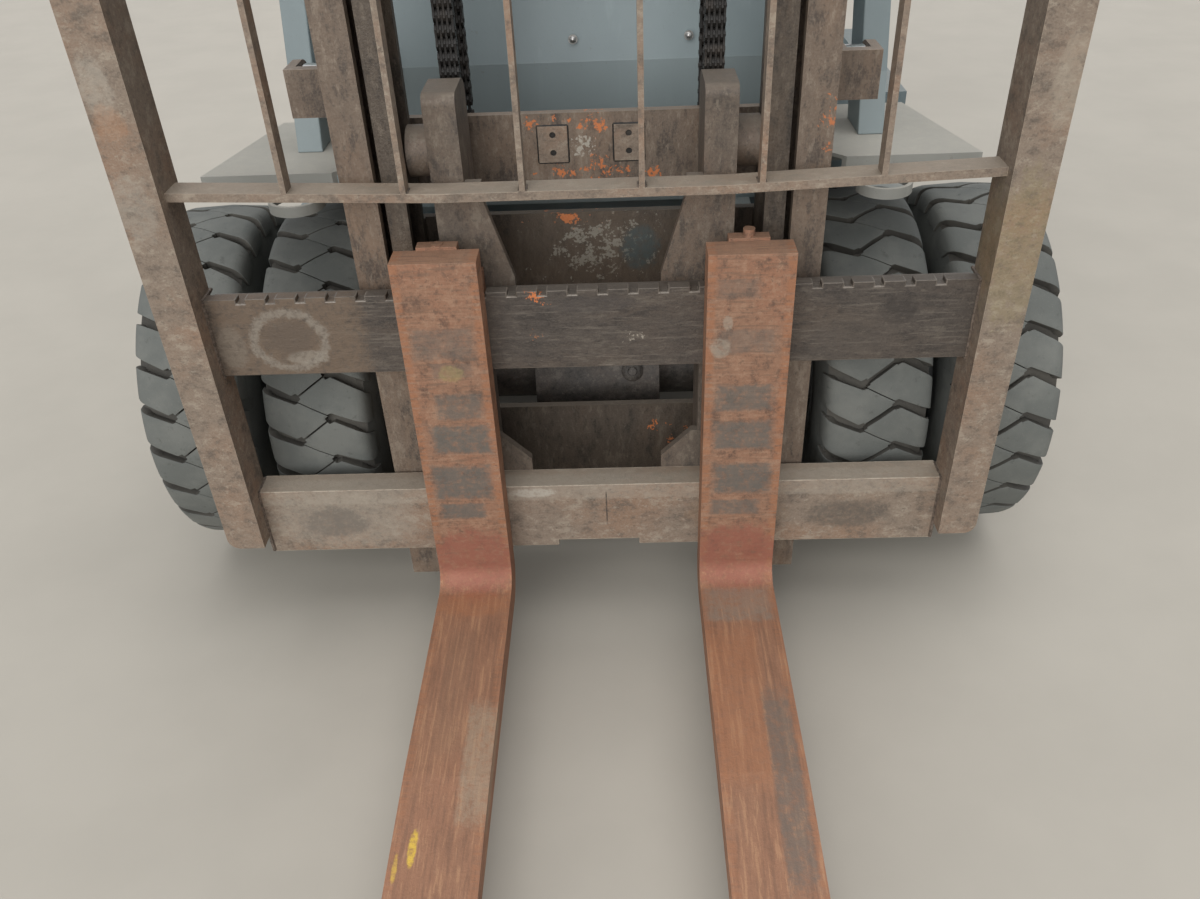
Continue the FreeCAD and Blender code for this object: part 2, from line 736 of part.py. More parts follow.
# Each chain run: its middle, the side with the plates' scallops, its low end
RUNS = (("front_chains", "chain_front_y", -1, "anchor_low + anchor_tall"),
        ("rear_chains", "chain_rear_y", 1, "rear_anchor_top"))
for name, y, side, low in RUNS:
    long = "sheave_z - (%s)" % low
    run = block("chain_centre - chain_wide / 2", "%s - chain_deep / 2 + 1" % y, low, "chain_wide",
                "chain_deep - 2", long)
    scallops = []
    for index in range(int(num(long) / num("chain_scallop"))):
        scallop = block("chain_centre - chain_wide", "%s + (%d) * (chain_deep / 2 - 1)" % (y, side),
                        "%s + (%d + 0.5) * chain_scallop - scallop_deep * sqrt(2)" % (low, index),
                        "2 * chain_wide", "2 * scallop_deep", "2 * scallop_deep")
        scallop.Placement.Rotation = FreeCAD.Rotation(vec(1, 0, 0), 45)
        scallops.append(scallop)
    node(name, both(cut(run, *scallops)))


# Wheels

# One half of the tread, from the middle out. Each row: distance from the middle, radius of the land,
# groove depth, how far the groove has leaned and how wide it is, the last two as shares of a pitch.
TREAD = (("22", "tyre_radius", "lug_deep", 0.00, 0.20),
         ("92", "tyre_radius - 6", "lug_deep + 4", 0.10, 0.26),
         ("tyre_wide / 2", "tyre_radius - 62", "0", 0.14, 0.00))


def facet(*corners):
    return Part.Face(Part.makePolygon(list(corners) + [corners[0]]))


def sheet_of(first, second):
    """The two facets between two pairs of points."""
    return [facet(first[0], first[1], second[1]), facet(first[0], second[1], second[0])]


def tyre(centre, y):
    """A tyre as a closed skin of facets. Its grooves cut in from both shoulders, half a pitch apart."""
    count = int(num("tread_pitches"))
    turn = 2 * math.pi / count
    rows = [(num(x), num(radius), num(deep), lean, wide) for x, radius, deep, lean, wide in TREAD]
    bead_x = num("bead_half")
    bead_radius = (num("bead_radius") + 0.3) / math.cos(turn / 2)
    edges = {1: [], -1: []}
    beads = {1: [], -1: []}
    faces = []

    def point(x, radius, pitches):
        angle = (pitches + num("tread_phase")) * turn
        return vec(x, radius * math.cos(angle), radius * math.sin(angle))

    def groove(side, pitch, row):
        """The upper edge, the bottom and the lower edge of a groove, at one row of the tread."""
        x, radius, deep, lean, wide = row
        middle = pitch + side * lean
        return [point(side * x, radius - depth, middle + part * wide / 2)
                for part, depth in ((-1, 0), (0, deep), (1, 0))]

    for side, shift in ((1, 0), (-1, num("tread_shift"))):
        for step in range(count):
            tip, shoulder, end = [groove(side, step + shift, row) for row in rows]
            next_tip, next_shoulder, next_end = [groove(side, step + 1 + shift, row) for row in rows]
            faces.append(facet(*tip))
            for here, after in ((0, 1), (1, 2)):
                faces += sheet_of((tip[here], tip[after]), (shoulder[here], shoulder[after]))
                faces.append(facet(shoulder[here], end[0], shoulder[after]))
            faces += sheet_of((tip[2], next_tip[0]), (shoulder[2], next_shoulder[0]))
            faces += sheet_of((shoulder[2], next_shoulder[0]), (end[0], next_end[0]))
            foot = step + shift + side * rows[2][3]
            faces.append(facet(end[0], point(side * bead_x, bead_radius, foot),
                               point(side * bead_x, bead_radius, foot + 1), next_end[0]))
            edges[side] += [(step + shift + part * rows[0][4] / 2) % count for part in (-1, 1)]
            beads[side].append(foot % count)

    def band(x, radius, around):
        """Facets across the tyre's middle, between the points of its left and right rings."""
        left, right = [sorted(around[side]) for side in (-1, 1)]
        left.append(left[0] + count)
        right.append(right[0] + count)
        here, there = 0, 0
        while here < len(left) - 1 or there < len(right) - 1:
            corners = [point(-x, radius, left[here]), point(x, radius, right[there])]
            if there == len(right) - 1 or (here < len(left) - 1 and left[here + 1] <= right[there + 1]):
                here += 1
                corners.append(point(-x, radius, left[here]))
            else:
                there += 1
                corners.append(point(x, radius, right[there]))
            faces.append(facet(*corners))

    band(rows[0][0], rows[0][1], edges)
    band(bead_x, bead_radius, beads)
    whole = Part.Solid(Part.Shell(faces))
    if whole.Volume < 0:
        whole.reverse()
    thing = fixed(whole)
    thing.Placement = FreeCAD.Placement(vec(num(centre), num(y), num("axle_z")), FreeCAD.Rotation())
    return thing


DRIVE = (("inner", "drive_track_mid - dual_spacing / 2"), ("outer", "drive_track_mid + dual_spacing / 2"))
for side_name, sign in (("left", "-1"), ("right", "1")):
    for name, centre in DRIVE:
        node("drive_tyre_%s_%s" % (side_name, name), tyre("%s * (%s)" % (sign, centre), "drive_y"))


def rim_barrel(start, long, y):
    """The round wall that the tyres sit on."""
    return cut(rod("x", start, y, "axle_z", "bead_radius - run_gap", long),
               rod("x", start + " - 5", y, "axle_z", "bead_radius - rim_wall", long + " + 10"))


hub_in = "axle_end + 8"
rims = fuse(
    rim_barrel("drive_track_mid - dual_spacing / 2 - rim_half", "dual_spacing + 2 * rim_half", "drive_y"),
    rod("x", "drive_track_mid - disc_thick / 2", "drive_y", "axle_z", "bead_radius - run_gap", "disc_thick"),
    rod("x", hub_in, "drive_y", "axle_z", "hub_radius", "drive_track_mid + hub_out - (%s)" % hub_in))
bore = rod("x", hub_in + " - 5", "drive_y", "axle_z", "spindle + run_gap",
           "drive_track_mid + hub_bore_out - (%s)" % hub_in)
right_rim = cut(rims, bore)
node("drive_rim_right", right_rim)
node("drive_rim_left", mirror(right_rim))

tube = rod("x", "-axle_end", "drive_y", "axle_z", "axle_tube", "2 * axle_end")
bulge = rod("x", "-differential_half", "drive_y", "axle_z", "differential", "2 * differential_half")
spindles = rod("x", "-(drive_track_mid + spindle_out)", "drive_y", "axle_z", "spindle",
               "2 * (drive_track_mid + spindle_out)")
pad = block("rail_in", "drive_y - axle_pad_half", "axle_z", "rail_wide", "2 * axle_pad_half",
            "axle_tube + 2")
node("drive_axle", fuse(tube, bulge, spindles, both(pad)))

beam = block("-(kingpin_half - yoke_reach)", "steer_y - steer_beam_half", "kingpin_low",
             "2 * (kingpin_half - yoke_reach)", "2 * steer_beam_half", "steer_beam_tall")
yokes = []
for low in ("kingpin_low", "kingpin_low + steer_beam_tall - yoke_thick"):
    lug = fuse(block("kingpin_half - yoke_reach", "steer_y - yoke_half", low, "yoke_reach", "2 * yoke_half",
                     "yoke_thick"),
               rod("z", "kingpin_half", "steer_y", low, "yoke_half", "yoke_thick"))
    yokes.append(both(lug))
pins = rod("z", "kingpin_half", "steer_y", "kingpin_low - 60", "kingpin + 0.05", "steer_beam_tall + 120")
saddle = block("-saddle_half", "steer_y - steer_beam_half", "kingpin_low + steer_beam_tall",
               "2 * saddle_half",
               "2 * steer_beam_half", "500 - axle_z - steer_beam_tall / 2")
node("steer_axle", cut(fuse(beam, saddle, *yokes), both(pins)))

knuckle = fuse(
    rod("z", "kingpin_half", "steer_y", "kingpin_low - knuckle_drop", "kingpin", "steer_beam_tall + 40"),
    block("kingpin_half - 40", "steer_y - 45", "kingpin_low + 25", "110", "90", "steer_beam_tall - 50"),
    rod("x", "kingpin_half", "steer_y", "axle_z", "steer_spindle", "230"),
    plate("XY_Plane", "kingpin_low - knuckle_drop", [
        ("kingpin_half + 26", "steer_y - 26"), ("kingpin_half + 34", "steer_y + 20"),
        ("kingpin_half - steer_arm_in + 20", "steer_y + steer_arm_back + 26"),
        ("kingpin_half - steer_arm_in - 20", "steer_y + steer_arm_back + 20"),
        ("kingpin_half - steer_arm_in - 24", "steer_y + steer_arm_back - 20"),
        ("kingpin_half - 34", "steer_y - 20")], "yoke_thick"))
node("knuckle_right", knuckle)
node("knuckle_left", mirror(knuckle))

steer_rim = cut(fuse(
    rim_barrel("steer_track_half - rim_half", "2 * rim_half", "steer_y"),
    rod("x", "steer_track_half - steer_disc / 2", "steer_y", "axle_z", "bead_radius - run_gap",
        "steer_disc"),
    rod("x", "steer_track_half - steer_hub_in", "steer_y", "axle_z", "steer_hub", "steer_hub_long")),
    rod("x", "steer_track_half - steer_hub_in - 20", "steer_y", "axle_z", "steer_spindle + run_gap",
        "steer_hub_long"))
node("steer_rim_right", steer_rim)
node("steer_rim_left", mirror(steer_rim))
node("steer_tyre_right", tyre("steer_track_half", "steer_y"))
node("steer_tyre_left", tyre("-steer_track_half", "steer_y"))

ram_z = "kingpin_low - knuckle_drop - 5 - ram_eye_tall / 2"
ram_y = "steer_y + steer_arm_back"
barrel = fuse(
    rod("x", "-ram_barrel_half", ram_y, ram_z, "ram_barrel", "2 * ram_barrel_half"),
    both(block("ram_foot_in", "steer_y - steer_beam_half", "kingpin_low - 20", "ram_foot_wide",
               "steer_arm_back + steer_beam_half", "20")),
    both(block("ram_foot_in", ram_y + " - 40", ram_z, "ram_foot_wide", "40", "50")))
node("steer_cylinder", cut(barrel, rod("x", "-ram_barrel_half - 20", ram_y, ram_z, "ram_rod + run_gap",
                                       "2 * ram_barrel_half + 40")))
ram_end = "kingpin_half - steer_arm_in"
eye = rod("z", ram_end, ram_y, "%s - ram_eye_tall / 2" % ram_z, "ram_eye", "ram_eye_tall")
node("steer_rod", fuse(rod("x", "-(%s)" % ram_end, ram_y, ram_z, "ram_rod", "2 * (%s)" % ram_end),
                       both(eye)))


# Chassis

rail = plate("YZ_Plane", "rail_in", [
    ("drive_y - 95", "axle_z + axle_tube + 2"), ("drive_y + 75", "axle_z + axle_tube + 2"),
    ("drive_y + 190", "rail_low"), ("steer_y - 560", "rail_low"), ("steer_y - 560", "rail_top"),
    ("drive_y + 30", "rail_top"), ("drive_y - 95", "rail_top - 180")], "rail_wide")
rear_rail = plate("YZ_Plane", "rear_rail_in", [
    ("steer_y - 560", "500"), ("tail_y - 400", "500"), ("tail_y - 400", "rail_top"),
    ("steer_y - 560", "rail_top")], "rail_wide")
members = [both(rail), both(rear_rail)]
for y, low, tall in (("drive_y + 210", "500", "rail_top - 500"), ("drive_y + 1060", "500", "60"),
                     ("drive_y + 1500", "500", "60"), ("steer_y - 620", "500", "rail_top - 500")):
    members.append(block("-rail_in", y, low, "2 * rail_in", "60", tall))
members.append(block("-rear_rail_in", "steer_y - steer_beam_half", "500", "2 * rear_rail_in",
                     "2 * steer_beam_half", "40"))
node("frame", fuse(*members))

floor_outline = [
    ("-690", "face + 936"), ("0.3 - cowl_half + cowl_sheet", "face + 936"),
    ("0.3 - cowl_half + cowl_sheet", "face + cowl_front + cowl_sheet + 0.3"),
    ("cowl_half - cowl_sheet - 0.3", "face + cowl_front + cowl_sheet + 0.3"),
    ("cowl_half - cowl_sheet - 0.3", "face + 936"),
    ("690", "face + 936"), ("690", "face + hood_front - 10"), ("-690", "face + hood_front - 10")]
node("floor_plate", plate("XY_Plane", "rail_top", floor_outline, "floor_thick"))

tank_in = "rail_in + rail_wide"
tank = plate("YZ_Plane", tank_in, [
    ("drive_y + 490", "rail_low"), ("steer_y - 520", "rail_low"), ("steer_y - 520", "rail_top"),
    ("drive_y + 490", "rail_top")], "tank_out - (%s)" % tank_in,
    rounds=[(0, "tank_corner"), (1, "tank_corner")])
step = block("tank_out - step_deep", "drive_y + 470", "step_high", "step_deep + 10", "460", "300")
tank_right = cut(tank, step)
node("hydraulic_tank", tank_right)
node("fuel_tank", mirror(tank_right))

# Fenders: a folded sheet over the inner tyre, its side wall, and the round lamp holder under its front edge
fold = plate("YZ_Plane", "fender_in", [
    ("face + fender_front", "fender_top - fender_lip"),
    ("face + fender_front + fender_thick", "fender_top - fender_lip"),
    ("face + fender_front + fender_thick", "fender_high"), ("face + fender_bend - 3", "fender_high"),
    ("face + fender_foot - 11", "rail_top"), ("face + fender_foot", "rail_top"),
    ("face + fender_bend", "fender_top"), ("face + fender_front", "fender_top")], "fender_out - fender_in")
lean = "(fender_out - fender_out_back) / (fender_bend - fender_front)"
outer_edge = plate("XY_Plane", "rail_top - 10", [
    ("fender_out", "face + fender_front - 1"), ("fender_out + 10", "face + fender_front - 1"),
    ("fender_out + 10", "face + fender_foot + 10"),
    ("fender_out - (fender_foot + 11 - fender_front) * %s" % lean, "face + fender_foot + 10")], "300")
inner_corner = plate("XY_Plane", "rail_top - 10", [
    ("fender_in - 1", "face + fender_front - 1"), ("fender_in + fender_corner", "face + fender_front - 1"),
    ("fender_in - 1", "face + fender_front + fender_corner")], "300")
skirt = plate("YZ_Plane", "fender_in", [
    ("face + 520", "fender_high"), ("face + 690", "rail_top"), ("face + fender_foot - 11", "rail_top"),
    ("face + fender_bend - 3", "fender_high")], "fender_thick")
flange = block("cowl_half", "face + 780", "rail_top", "fender_in + fender_thick - cowl_half", "150", "10")
holder = cut(rod("z", "lamp_ring_x", "face + lamp_ring_back", "lamp_ring_low", "lamp_ring",
                 "lamp_ring_tall"),
             rod("z", "lamp_ring_x", "face + lamp_ring_back", "lamp_ring_low - 5",
                 "lamp_ring - lamp_ring_wall", "lamp_ring_tall + 10"))
arm = block("lamp_ring_x - 20", "face + lamp_ring_back + lamp_ring - lamp_ring_wall", "lamp_ring_low", "40",
            "30", "fender_high - lamp_ring_low")
fender = fuse(cut(fold, outer_edge, inner_corner), skirt, flange, holder, arm)
node("fender_right", fender)
node("fender_left", mirror(fender))

cowl_wall = plate("YZ_Plane", "-cowl_half", [
    ("face + cowl_front", "rail_top"), ("face + cowl_front", "cowl_bend"),
    ("face + cowl_front + 60", "cowl_top"), ("face + 930", "cowl_top - 30"),
    ("face + 930", "rail_top")], "2 * cowl_half", rounds=[(2, "30")])
cowl_room = plate("YZ_Plane", "-(cowl_half - cowl_sheet)", [
    ("face + cowl_front + cowl_sheet", "rail_top - 50"), ("face + cowl_front + cowl_sheet", "cowl_bend"),
    ("face + cowl_front + 60 + cowl_sheet", "cowl_top - cowl_sheet - 4"),
    ("face + 960", "cowl_top - 40 - cowl_sheet"), ("face + 960", "rail_top - 50")],
    "2 * (cowl_half - cowl_sheet)", rounds=[(2, "24")])
base_in = "tilt_centre - tilt_eye_wide / 2 - 0.3"
tilt_base = fuse(
    block("cowl_half", "base_y - tilt_base_half", "tilt_base_high - 35", base_in + " - cowl_half",
          "2 * tilt_base_half", "70"),
    rod("x", "cowl_half", "base_y", "tilt_base_high", "tilt_pin",
        "tilt_centre + tilt_eye_wide / 2 + 8 - cowl_half"))
node("cowl", fuse(cut(cowl_wall, cowl_room), both(tilt_base)))


def hood_section(half, low, top, corner):
    """The hood's outline seen from the front, and its two round corners."""
    outline = [("-(%s)" % half, low), (half, low), (half, top), ("-(%s)" % half, top)]
    return outline, [(2, corner), (3, corner)]


outline, corners = hood_section("hood_half", "floor_top + 1", "hood_top", "hood_round")
shell = plate("XZ_Plane", "face + hood_front", outline, "weight_front - hood_front - 5", rounds=corners)
outline, corners = hood_section("hood_half - hood_sheet", "floor_top - 60", "hood_top - hood_sheet",
                                "hood_round - hood_sheet")
room = plate("XZ_Plane", "face + hood_front + hood_sheet", outline, "weight_front - hood_front",
             rounds=corners)
leaf = both(fuse(rod("x", "200", "hinge_y", "hinge_z", "hinge_pin", "100"),
                 block("200", "weight_y - 27", "hood_top", "100", "24.5", "20")))
node("hood", fuse(cut(shell, room), leaf))
cushion = plate("XY_Plane", "hood_top + 0.3", [
    ("-seat_half", "face + seat_front"), ("seat_half", "face + seat_front"),
    ("seat_half", "face + seat_front + seat_deep"), ("-seat_half", "face + seat_front + seat_deep")],
    "seat_thick", rounds=[(0, "seat_round"), (1, "seat_round")])
node("seat_cushion", cushion)
back = plate("YZ_Plane", "10 - seat_half", [
    ("face + back_front", "hood_top + 60"), ("face + 2240", "hood_top + 60"), ("face + 2330", "1800"),
    ("face + 2250", "1830"), ("face + back_front", "hood_top + 150")], "2 * (seat_half - 10)",
    rounds=[(2, "back_corner"), (3, "back_corner")])
seat_foot = block("-150", "face + back_front", "hood_top", "300", "100", "60")
node("seat_back", fuse(back, seat_foot))

# Counterweight: the tail's outline, less the steered wheels' sweep, the air way and the tow pin's mouth
outline = [
    ("-weight_half", "weight_y"), ("weight_half", "weight_y"), ("weight_half", "tail_y - 170"),
    ("weight_half - 340", "tail_y"), ("340 - weight_half", "tail_y"), ("-weight_half", "tail_y - 170")]
mass = plate("XY_Plane", "weight_low", outline, "weight_top - weight_low", rounds=[
    (2, "weight_corner"), (3, "weight_tail_round"), (4, "weight_tail_round"), (5, "weight_corner")])
slope = plate("YZ_Plane", "-weight_half - 10", [
    ("tail_y - weight_slope", "weight_top"), ("tail_y + 1", "weight_top - weight_slope_drop"),
    ("tail_y + 1", "weight_top + 1"), ("tail_y - weight_slope", "weight_top + 1")], "2 * weight_half + 20")
sweep = both(rod("z", "kingpin_half", "steer_y", "weight_low - 20", "arch_radius",
                 "weight_arch_top - weight_low + 20"))
under = block("-weight_half - 10", "weight_y - 20", "weight_low - 20", "2 * weight_half + 20",
              "steer_y + 230 - weight_y + 20", "weight_arch_top - weight_low + 20")
airway = block("-airway_half", "weight_y - 20", "airway_low", "2 * airway_half", "tail_y - weight_y + 40",
               "airway_tall")
mouth = block("-70", "tail_y - 130", "520", "140", "200", "80")
handle_room = block("-90", "tail_y - 130", "tow_top", "180", "200", "225")
hole = rod("z", "0", "tow_y", "tow_low - 10", "tow_hole", "300")
rails_room = both(block("rear_rail_in", "steer_y - 400", "500", "rail_wide", "tail_y - steer_y",
                        "rail_top - 500"))
weight_leaf = both(fuse(rod("x", "119.7", "hinge_y", "hinge_z", "hinge_pin", "80"),
                        block("119.7", "hinge_y", "weight_top", "80", "24", "20")))
node("counterweight", fuse(cut(mass, slope, sweep, under, airway, mouth, handle_room, hole, rails_room),
                           weight_leaf))
slats = [block(start, "tail_y - 60", "airway_low", "14", "40", "airway_tall")
         for start in ("-airway_half", "airway_half - 14")]
for index in range(SIZES["slat_count"]):
    slats.append(block("10 - airway_half", "tail_y - 56", "airway_low + 12 + %d * slat_pitch" % index,
                       "2 * airway_half - 20", "30", "8"))
node("radiator_grille", fuse(*slats))
node("tow_pin", fuse(rod("z", "0", "tow_y", "tow_low", "tow_hole - run_gap", "tow_top + 0.5 - tow_low"),
                     rod("z", "0", "tow_y", "tow_top + 0.5", "tow_head", "tow_head_thick")))
node("engine", block("-engine_half", "drive_y + engine_front", "engine_low", "2 * engine_half",
                     "engine_long",
                     "engine_tall"))


# Overhead guard

def leg_front(z):
    """The front face of the guard's front legs, at a height."""
    return ("face + front_leg_foot + (front_leg_roof - front_leg_foot) * (%s - fender_top)"
            " / (guard_roof_low - fender_top)" % z)


legs = both(plate("YZ_Plane", "guard_in", [
    ("face + front_leg_foot", "fender_top"), ("face + front_leg_foot + front_leg_deep", "fender_top"),
    ("face + front_leg_roof + front_leg_top_deep", "guard_roof_low"),
    ("face + front_leg_roof", "guard_roof_low")], "guard_tube"))
node("guard_front_legs", legs)
rear_legs = both(plate("YZ_Plane", "guard_in", [
    ("face + rear_leg_foot", "weight_top"), ("face + rear_leg_foot + 100", "weight_top"),
    ("face + rear_leg_roof + 80", "guard_roof_low"), ("face + rear_leg_roof", "guard_roof_low")],
    "guard_tube"))
node("guard_rear_legs", rear_legs)
roof_end = "face + guard_roof_front + guard_roof_long"
roof = [both(block("guard_in", "face + guard_roof_front", "guard_roof_low", "guard_tube", "guard_roof_long",
                   "guard_roof_tall"))]
for y in ("face + guard_roof_front", roof_end + " - guard_tube"):
    roof.append(block("-guard_in - 5", y, "guard_roof_low", "2 * guard_in + 10", "guard_tube",
                      "guard_roof_tall"))
for index in range(SIZES["roof_bar_count"]):
    roof.append(block("-guard_in - 5", "face + roof_bar_first + %d * roof_bar_pitch" % index,
                      "guard_roof_low + 10", "2 * guard_in + 10", "roof_bar_wide", "roof_bar_tall"))
node("guard_roof", fuse(*roof))

# Driver's place
column_turn = FreeCAD.Rotation(vec(1, 0, 0), -num("column_lean"))
column_foot = vec(num("column_x"), num("face + column_back"), num("floor_top"))
column = doc.addObject("Part::Cylinder", "column")
column.setExpression("Radius", bind("column_radius"))
column.setExpression("Height", bind("column_long + 40"))
column.Placement = FreeCAD.Placement(column_foot + column_turn.multVec(vec(0, 0, -40)), column_turn)
column_floor = block("column_x - 200", "face + 600", "floor_top - 200", "400", "400", "200")
node("steering_column", cut(column, column_floor))
grip = doc.addObject("Part::RegularPolygon", "grip")
grip.Polygon = 8
grip.setExpression("Circumradius", bind("wheel_grip"))
grip.Placement = FreeCAD.Placement(vec(num("wheel_radius"), 0, 0), FreeCAD.Rotation(vec(1, 0, 0), 90))
rim = doc.addObject("Part::Revolution", "rim")
rim.Source = grip
rim.Axis = vec(0, 0, 1)
rim.Angle = 360
rim.Solid = True
spoke = block("5 - wheel_radius", "-15", "-5", "2 * wheel_radius - 10", "30", "10")
boss = rod("z", "0", "0", "-15", "40", "30")
wheel = fuse(rim, spoke, boss)
wheel.Placement = FreeCAD.Placement(column_foot + column_turn.multVec(vec(0, 0, num("column_long") + 15.3)),
                                    column_turn)
node("steering_wheel", wheel)

lever_base = plate("YZ_Plane", "150", [
    ("face + 880", "cowl_top - 30 * 130 / 180"), ("face + 926", "cowl_top - 30 * 176 / 180"),
    ("face + 926", "cowl_top + 8"), ("face + 880", "cowl_top + 8")], "200")
levers = [lever_base]
for index in range(SIZES["lever_count"]):
    levers.append(rod("z", "180 + %d * lever_pitch" % index, "face + 903", "cowl_top + 8", "7",
                      "lever_tall"))
node("control_levers", fuse(*levers))
pedals = []
for x, wide in ((-330, 90), (-190, 90), (120, 70)):
    pedals.append(plate("YZ_Plane", str(x), [
        ("face + 1030", "floor_top"), ("face + 1050", "floor_top"), ("face + 960", "floor_top + 130"),
        ("face + 950", "floor_top + 120")], str(wide)))
node("pedals", fuse(*pedals))
lamp_x = "guard_out - guard_tube / 2"
foot_y = "face + head_lamp_back + 50"
foot_low, foot_top = "head_lamp_high - 15", "head_lamp_high + 15"
head_foot = plate("YZ_Plane", lamp_x + " - 20", [
    (foot_y, foot_low), (leg_front("(%s)" % foot_low) + " - 0.3", foot_low),
    (leg_front("(%s)" % foot_top) + " - 0.3", foot_top), (foot_y, foot_top)], "40")
node("head_lamps", both(fuse(rod("y", lamp_x, "face + head_lamp_back", "head_lamp_high", "head_lamp", "60"),
                             head_foot)))
rear_foot = block(lamp_x + " - 20", "face + rear_lamp_back + 8", "weight_top", "40", "30", "30")
node("rear_lamps", both(fuse(rod("y", lamp_x, "face + rear_lamp_back", "weight_top + 70", "rear_lamp", "50"),
                             rear_foot)))

# Tilt cylinders, along the line from the eye on the mast to the eye on the cowl
mast_eye = vec(num("tilt_centre"), num("pin_y"), num("tilt_bracket_high"))
base_eye = vec(num("tilt_centre"), num("base_y"), num("tilt_base_high"))
line = (mast_eye - base_eye).normalize()
reach = (mast_eye - base_eye).Length


def along(start, radius, long):
    """A round bar on the cylinder's line, from a distance in front of the eye on the cowl."""
    return fixed(Part.makeCylinder(num(radius), num(long), base_eye + line * num(start), line))


def eye_at(y, z):
    return rod("x", "tilt_centre - tilt_eye_wide / 2", y, z, "tilt_eye", "tilt_eye_wide")


base_bore = rod("x", "tilt_centre - tilt_eye_wide / 2 - 5", "base_y", "tilt_base_high",
                "tilt_pin + run_gap", "tilt_eye_wide + 10")
well = along("tilt_well_start", "tilt_rod + run_gap", "tilt_barrel_long + tilt_barrel_start")
neck = along("0", "tilt_eye_wide / 2 - 1", "tilt_neck_long")
tube = along("tilt_barrel_start", "tilt_barrel", "tilt_barrel_long")
tilt_barrel = cut(fuse(eye_at("base_y", "tilt_base_high"), neck, tube), base_bore, well)
node("tilt_barrel_right", tilt_barrel)
node("tilt_barrel_left", mirror(tilt_barrel))
stem = along("tilt_stem_start", "tilt_rod", "%.6f - tilt_stem_start - tilt_stem_short" % reach)
tilt_bar = fuse(eye_at("pin_y", "tilt_bracket_high"), stem)
node("tilt_rod_right", tilt_bar)
node("tilt_rod_left", mirror(tilt_bar))

doc.recompute()
for item in doc.Objects:
    if "Invalid" in item.State or "Error" in item.State:
        raise SystemExit("failed: %s %s %s" % (item.Name, item.Label, item.State))
os.makedirs("parts", exist_ok=True)
for name, thing in NODES.items():
    shape = thing.Shape
    if shape.isNull() or not shape.isValid() or not shape.Solids:
        raise SystemExit("bad shape: " + name)
    shape.exportStep("parts/%s.step" % name)
    print(name, len(shape.Solids), "solids", round(shape.Volume / 1e6, 1), "litres")
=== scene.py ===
# %% [markdown]
# # Dressing a forklift truck
#
# The imported model gives every rigid piece of the truck at its real size, in metres. This lesson
# leaves those pieces where they are. It gives them their finishes, and adds what is too fine for
# the solids: tyre tread, chain links, bolts, welds, cushions and lamps. Each piece but the two
# straight chain runs rides on the body that carries it, so that the mast, wheels, steering and
# hood still move.

# %% Load the imported model
import json
import math
import random

import bmesh
import bpy
import numpy as np
from mathutils import Matrix, Vector


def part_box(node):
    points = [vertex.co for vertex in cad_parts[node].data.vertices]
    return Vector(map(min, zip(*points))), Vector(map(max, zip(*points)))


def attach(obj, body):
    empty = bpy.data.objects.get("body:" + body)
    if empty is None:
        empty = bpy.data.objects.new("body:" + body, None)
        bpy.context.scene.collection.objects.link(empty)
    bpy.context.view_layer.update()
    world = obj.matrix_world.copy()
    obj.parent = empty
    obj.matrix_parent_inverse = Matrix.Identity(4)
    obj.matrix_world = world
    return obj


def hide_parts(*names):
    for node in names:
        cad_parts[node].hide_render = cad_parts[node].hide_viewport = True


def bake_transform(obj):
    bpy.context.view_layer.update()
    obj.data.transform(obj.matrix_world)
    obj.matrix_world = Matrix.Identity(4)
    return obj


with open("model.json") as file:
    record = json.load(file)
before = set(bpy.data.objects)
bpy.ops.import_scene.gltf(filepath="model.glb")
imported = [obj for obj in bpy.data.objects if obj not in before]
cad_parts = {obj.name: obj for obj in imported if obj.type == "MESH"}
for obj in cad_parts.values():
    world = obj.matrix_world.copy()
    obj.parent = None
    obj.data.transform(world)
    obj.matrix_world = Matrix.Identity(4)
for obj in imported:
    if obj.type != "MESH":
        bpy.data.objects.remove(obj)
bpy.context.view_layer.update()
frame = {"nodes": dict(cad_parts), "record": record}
NODES = frame["nodes"]

# %% [markdown]
# ## The camera
#
# The photograph was taken from just past the fork tips, looking down at the carriage. The place and
# the three turns of the camera were worked out from the carriage bars, the forks and the tyres, at
# the sizes that such a truck usually has. The forks and the left post then lie on the photograph to
# a few pixels, while the right post and the outer tyres don't. The rotation is built from its three
# directions, which avoids guessing at the order of three Euler angles.

# %% The camera
CAMERA_PLACE = Vector((0.070, -2.792, 1.738))
CAMERA_PITCH = math.radians(35.52)
CAMERA_YAW = math.radians(-1.96)
CAMERA_ROLL = math.radians(-2.52)
CAMERA_LENS = 30.2

look = Vector((math.sin(CAMERA_YAW) * math.cos(CAMERA_PITCH),
               math.cos(CAMERA_YAW) * math.cos(CAMERA_PITCH),
               -math.sin(CAMERA_PITCH)))
level = Vector((math.cos(CAMERA_YAW), -math.sin(CAMERA_YAW), 0))
rise = level.cross(look)
right = math.cos(CAMERA_ROLL) * level + math.sin(CAMERA_ROLL) * rise
up = math.cos(CAMERA_ROLL) * rise - math.sin(CAMERA_ROLL) * level

camera = bpy.data.objects.new("camera", bpy.data.cameras.new("camera"))
camera.data.lens = CAMERA_LENS
camera.data.sensor_width = 36
turned = Matrix((right, up, -look)).transposed()
camera.matrix_world = Matrix.Translation(CAMERA_PLACE) @ turned.to_4x4()
bpy.context.scene.collection.objects.link(camera)
bpy.context.scene.camera = camera
print("The camera is", round(CAMERA_PLACE.length, 2), "metres from the middle of the truck's floor")

# %% [markdown]
# ## Expressions for shader nodes
#
# A finish is a sum of small ideas: rust here, a worn patch there, dust on top. Wiring each idea by
# hand takes ten lines of links. `Flow` wraps the output of a node so that `a * b + 0.2` makes the
# Math nodes, and `Finish` is a material with one method, `node`, for every other kind of node.

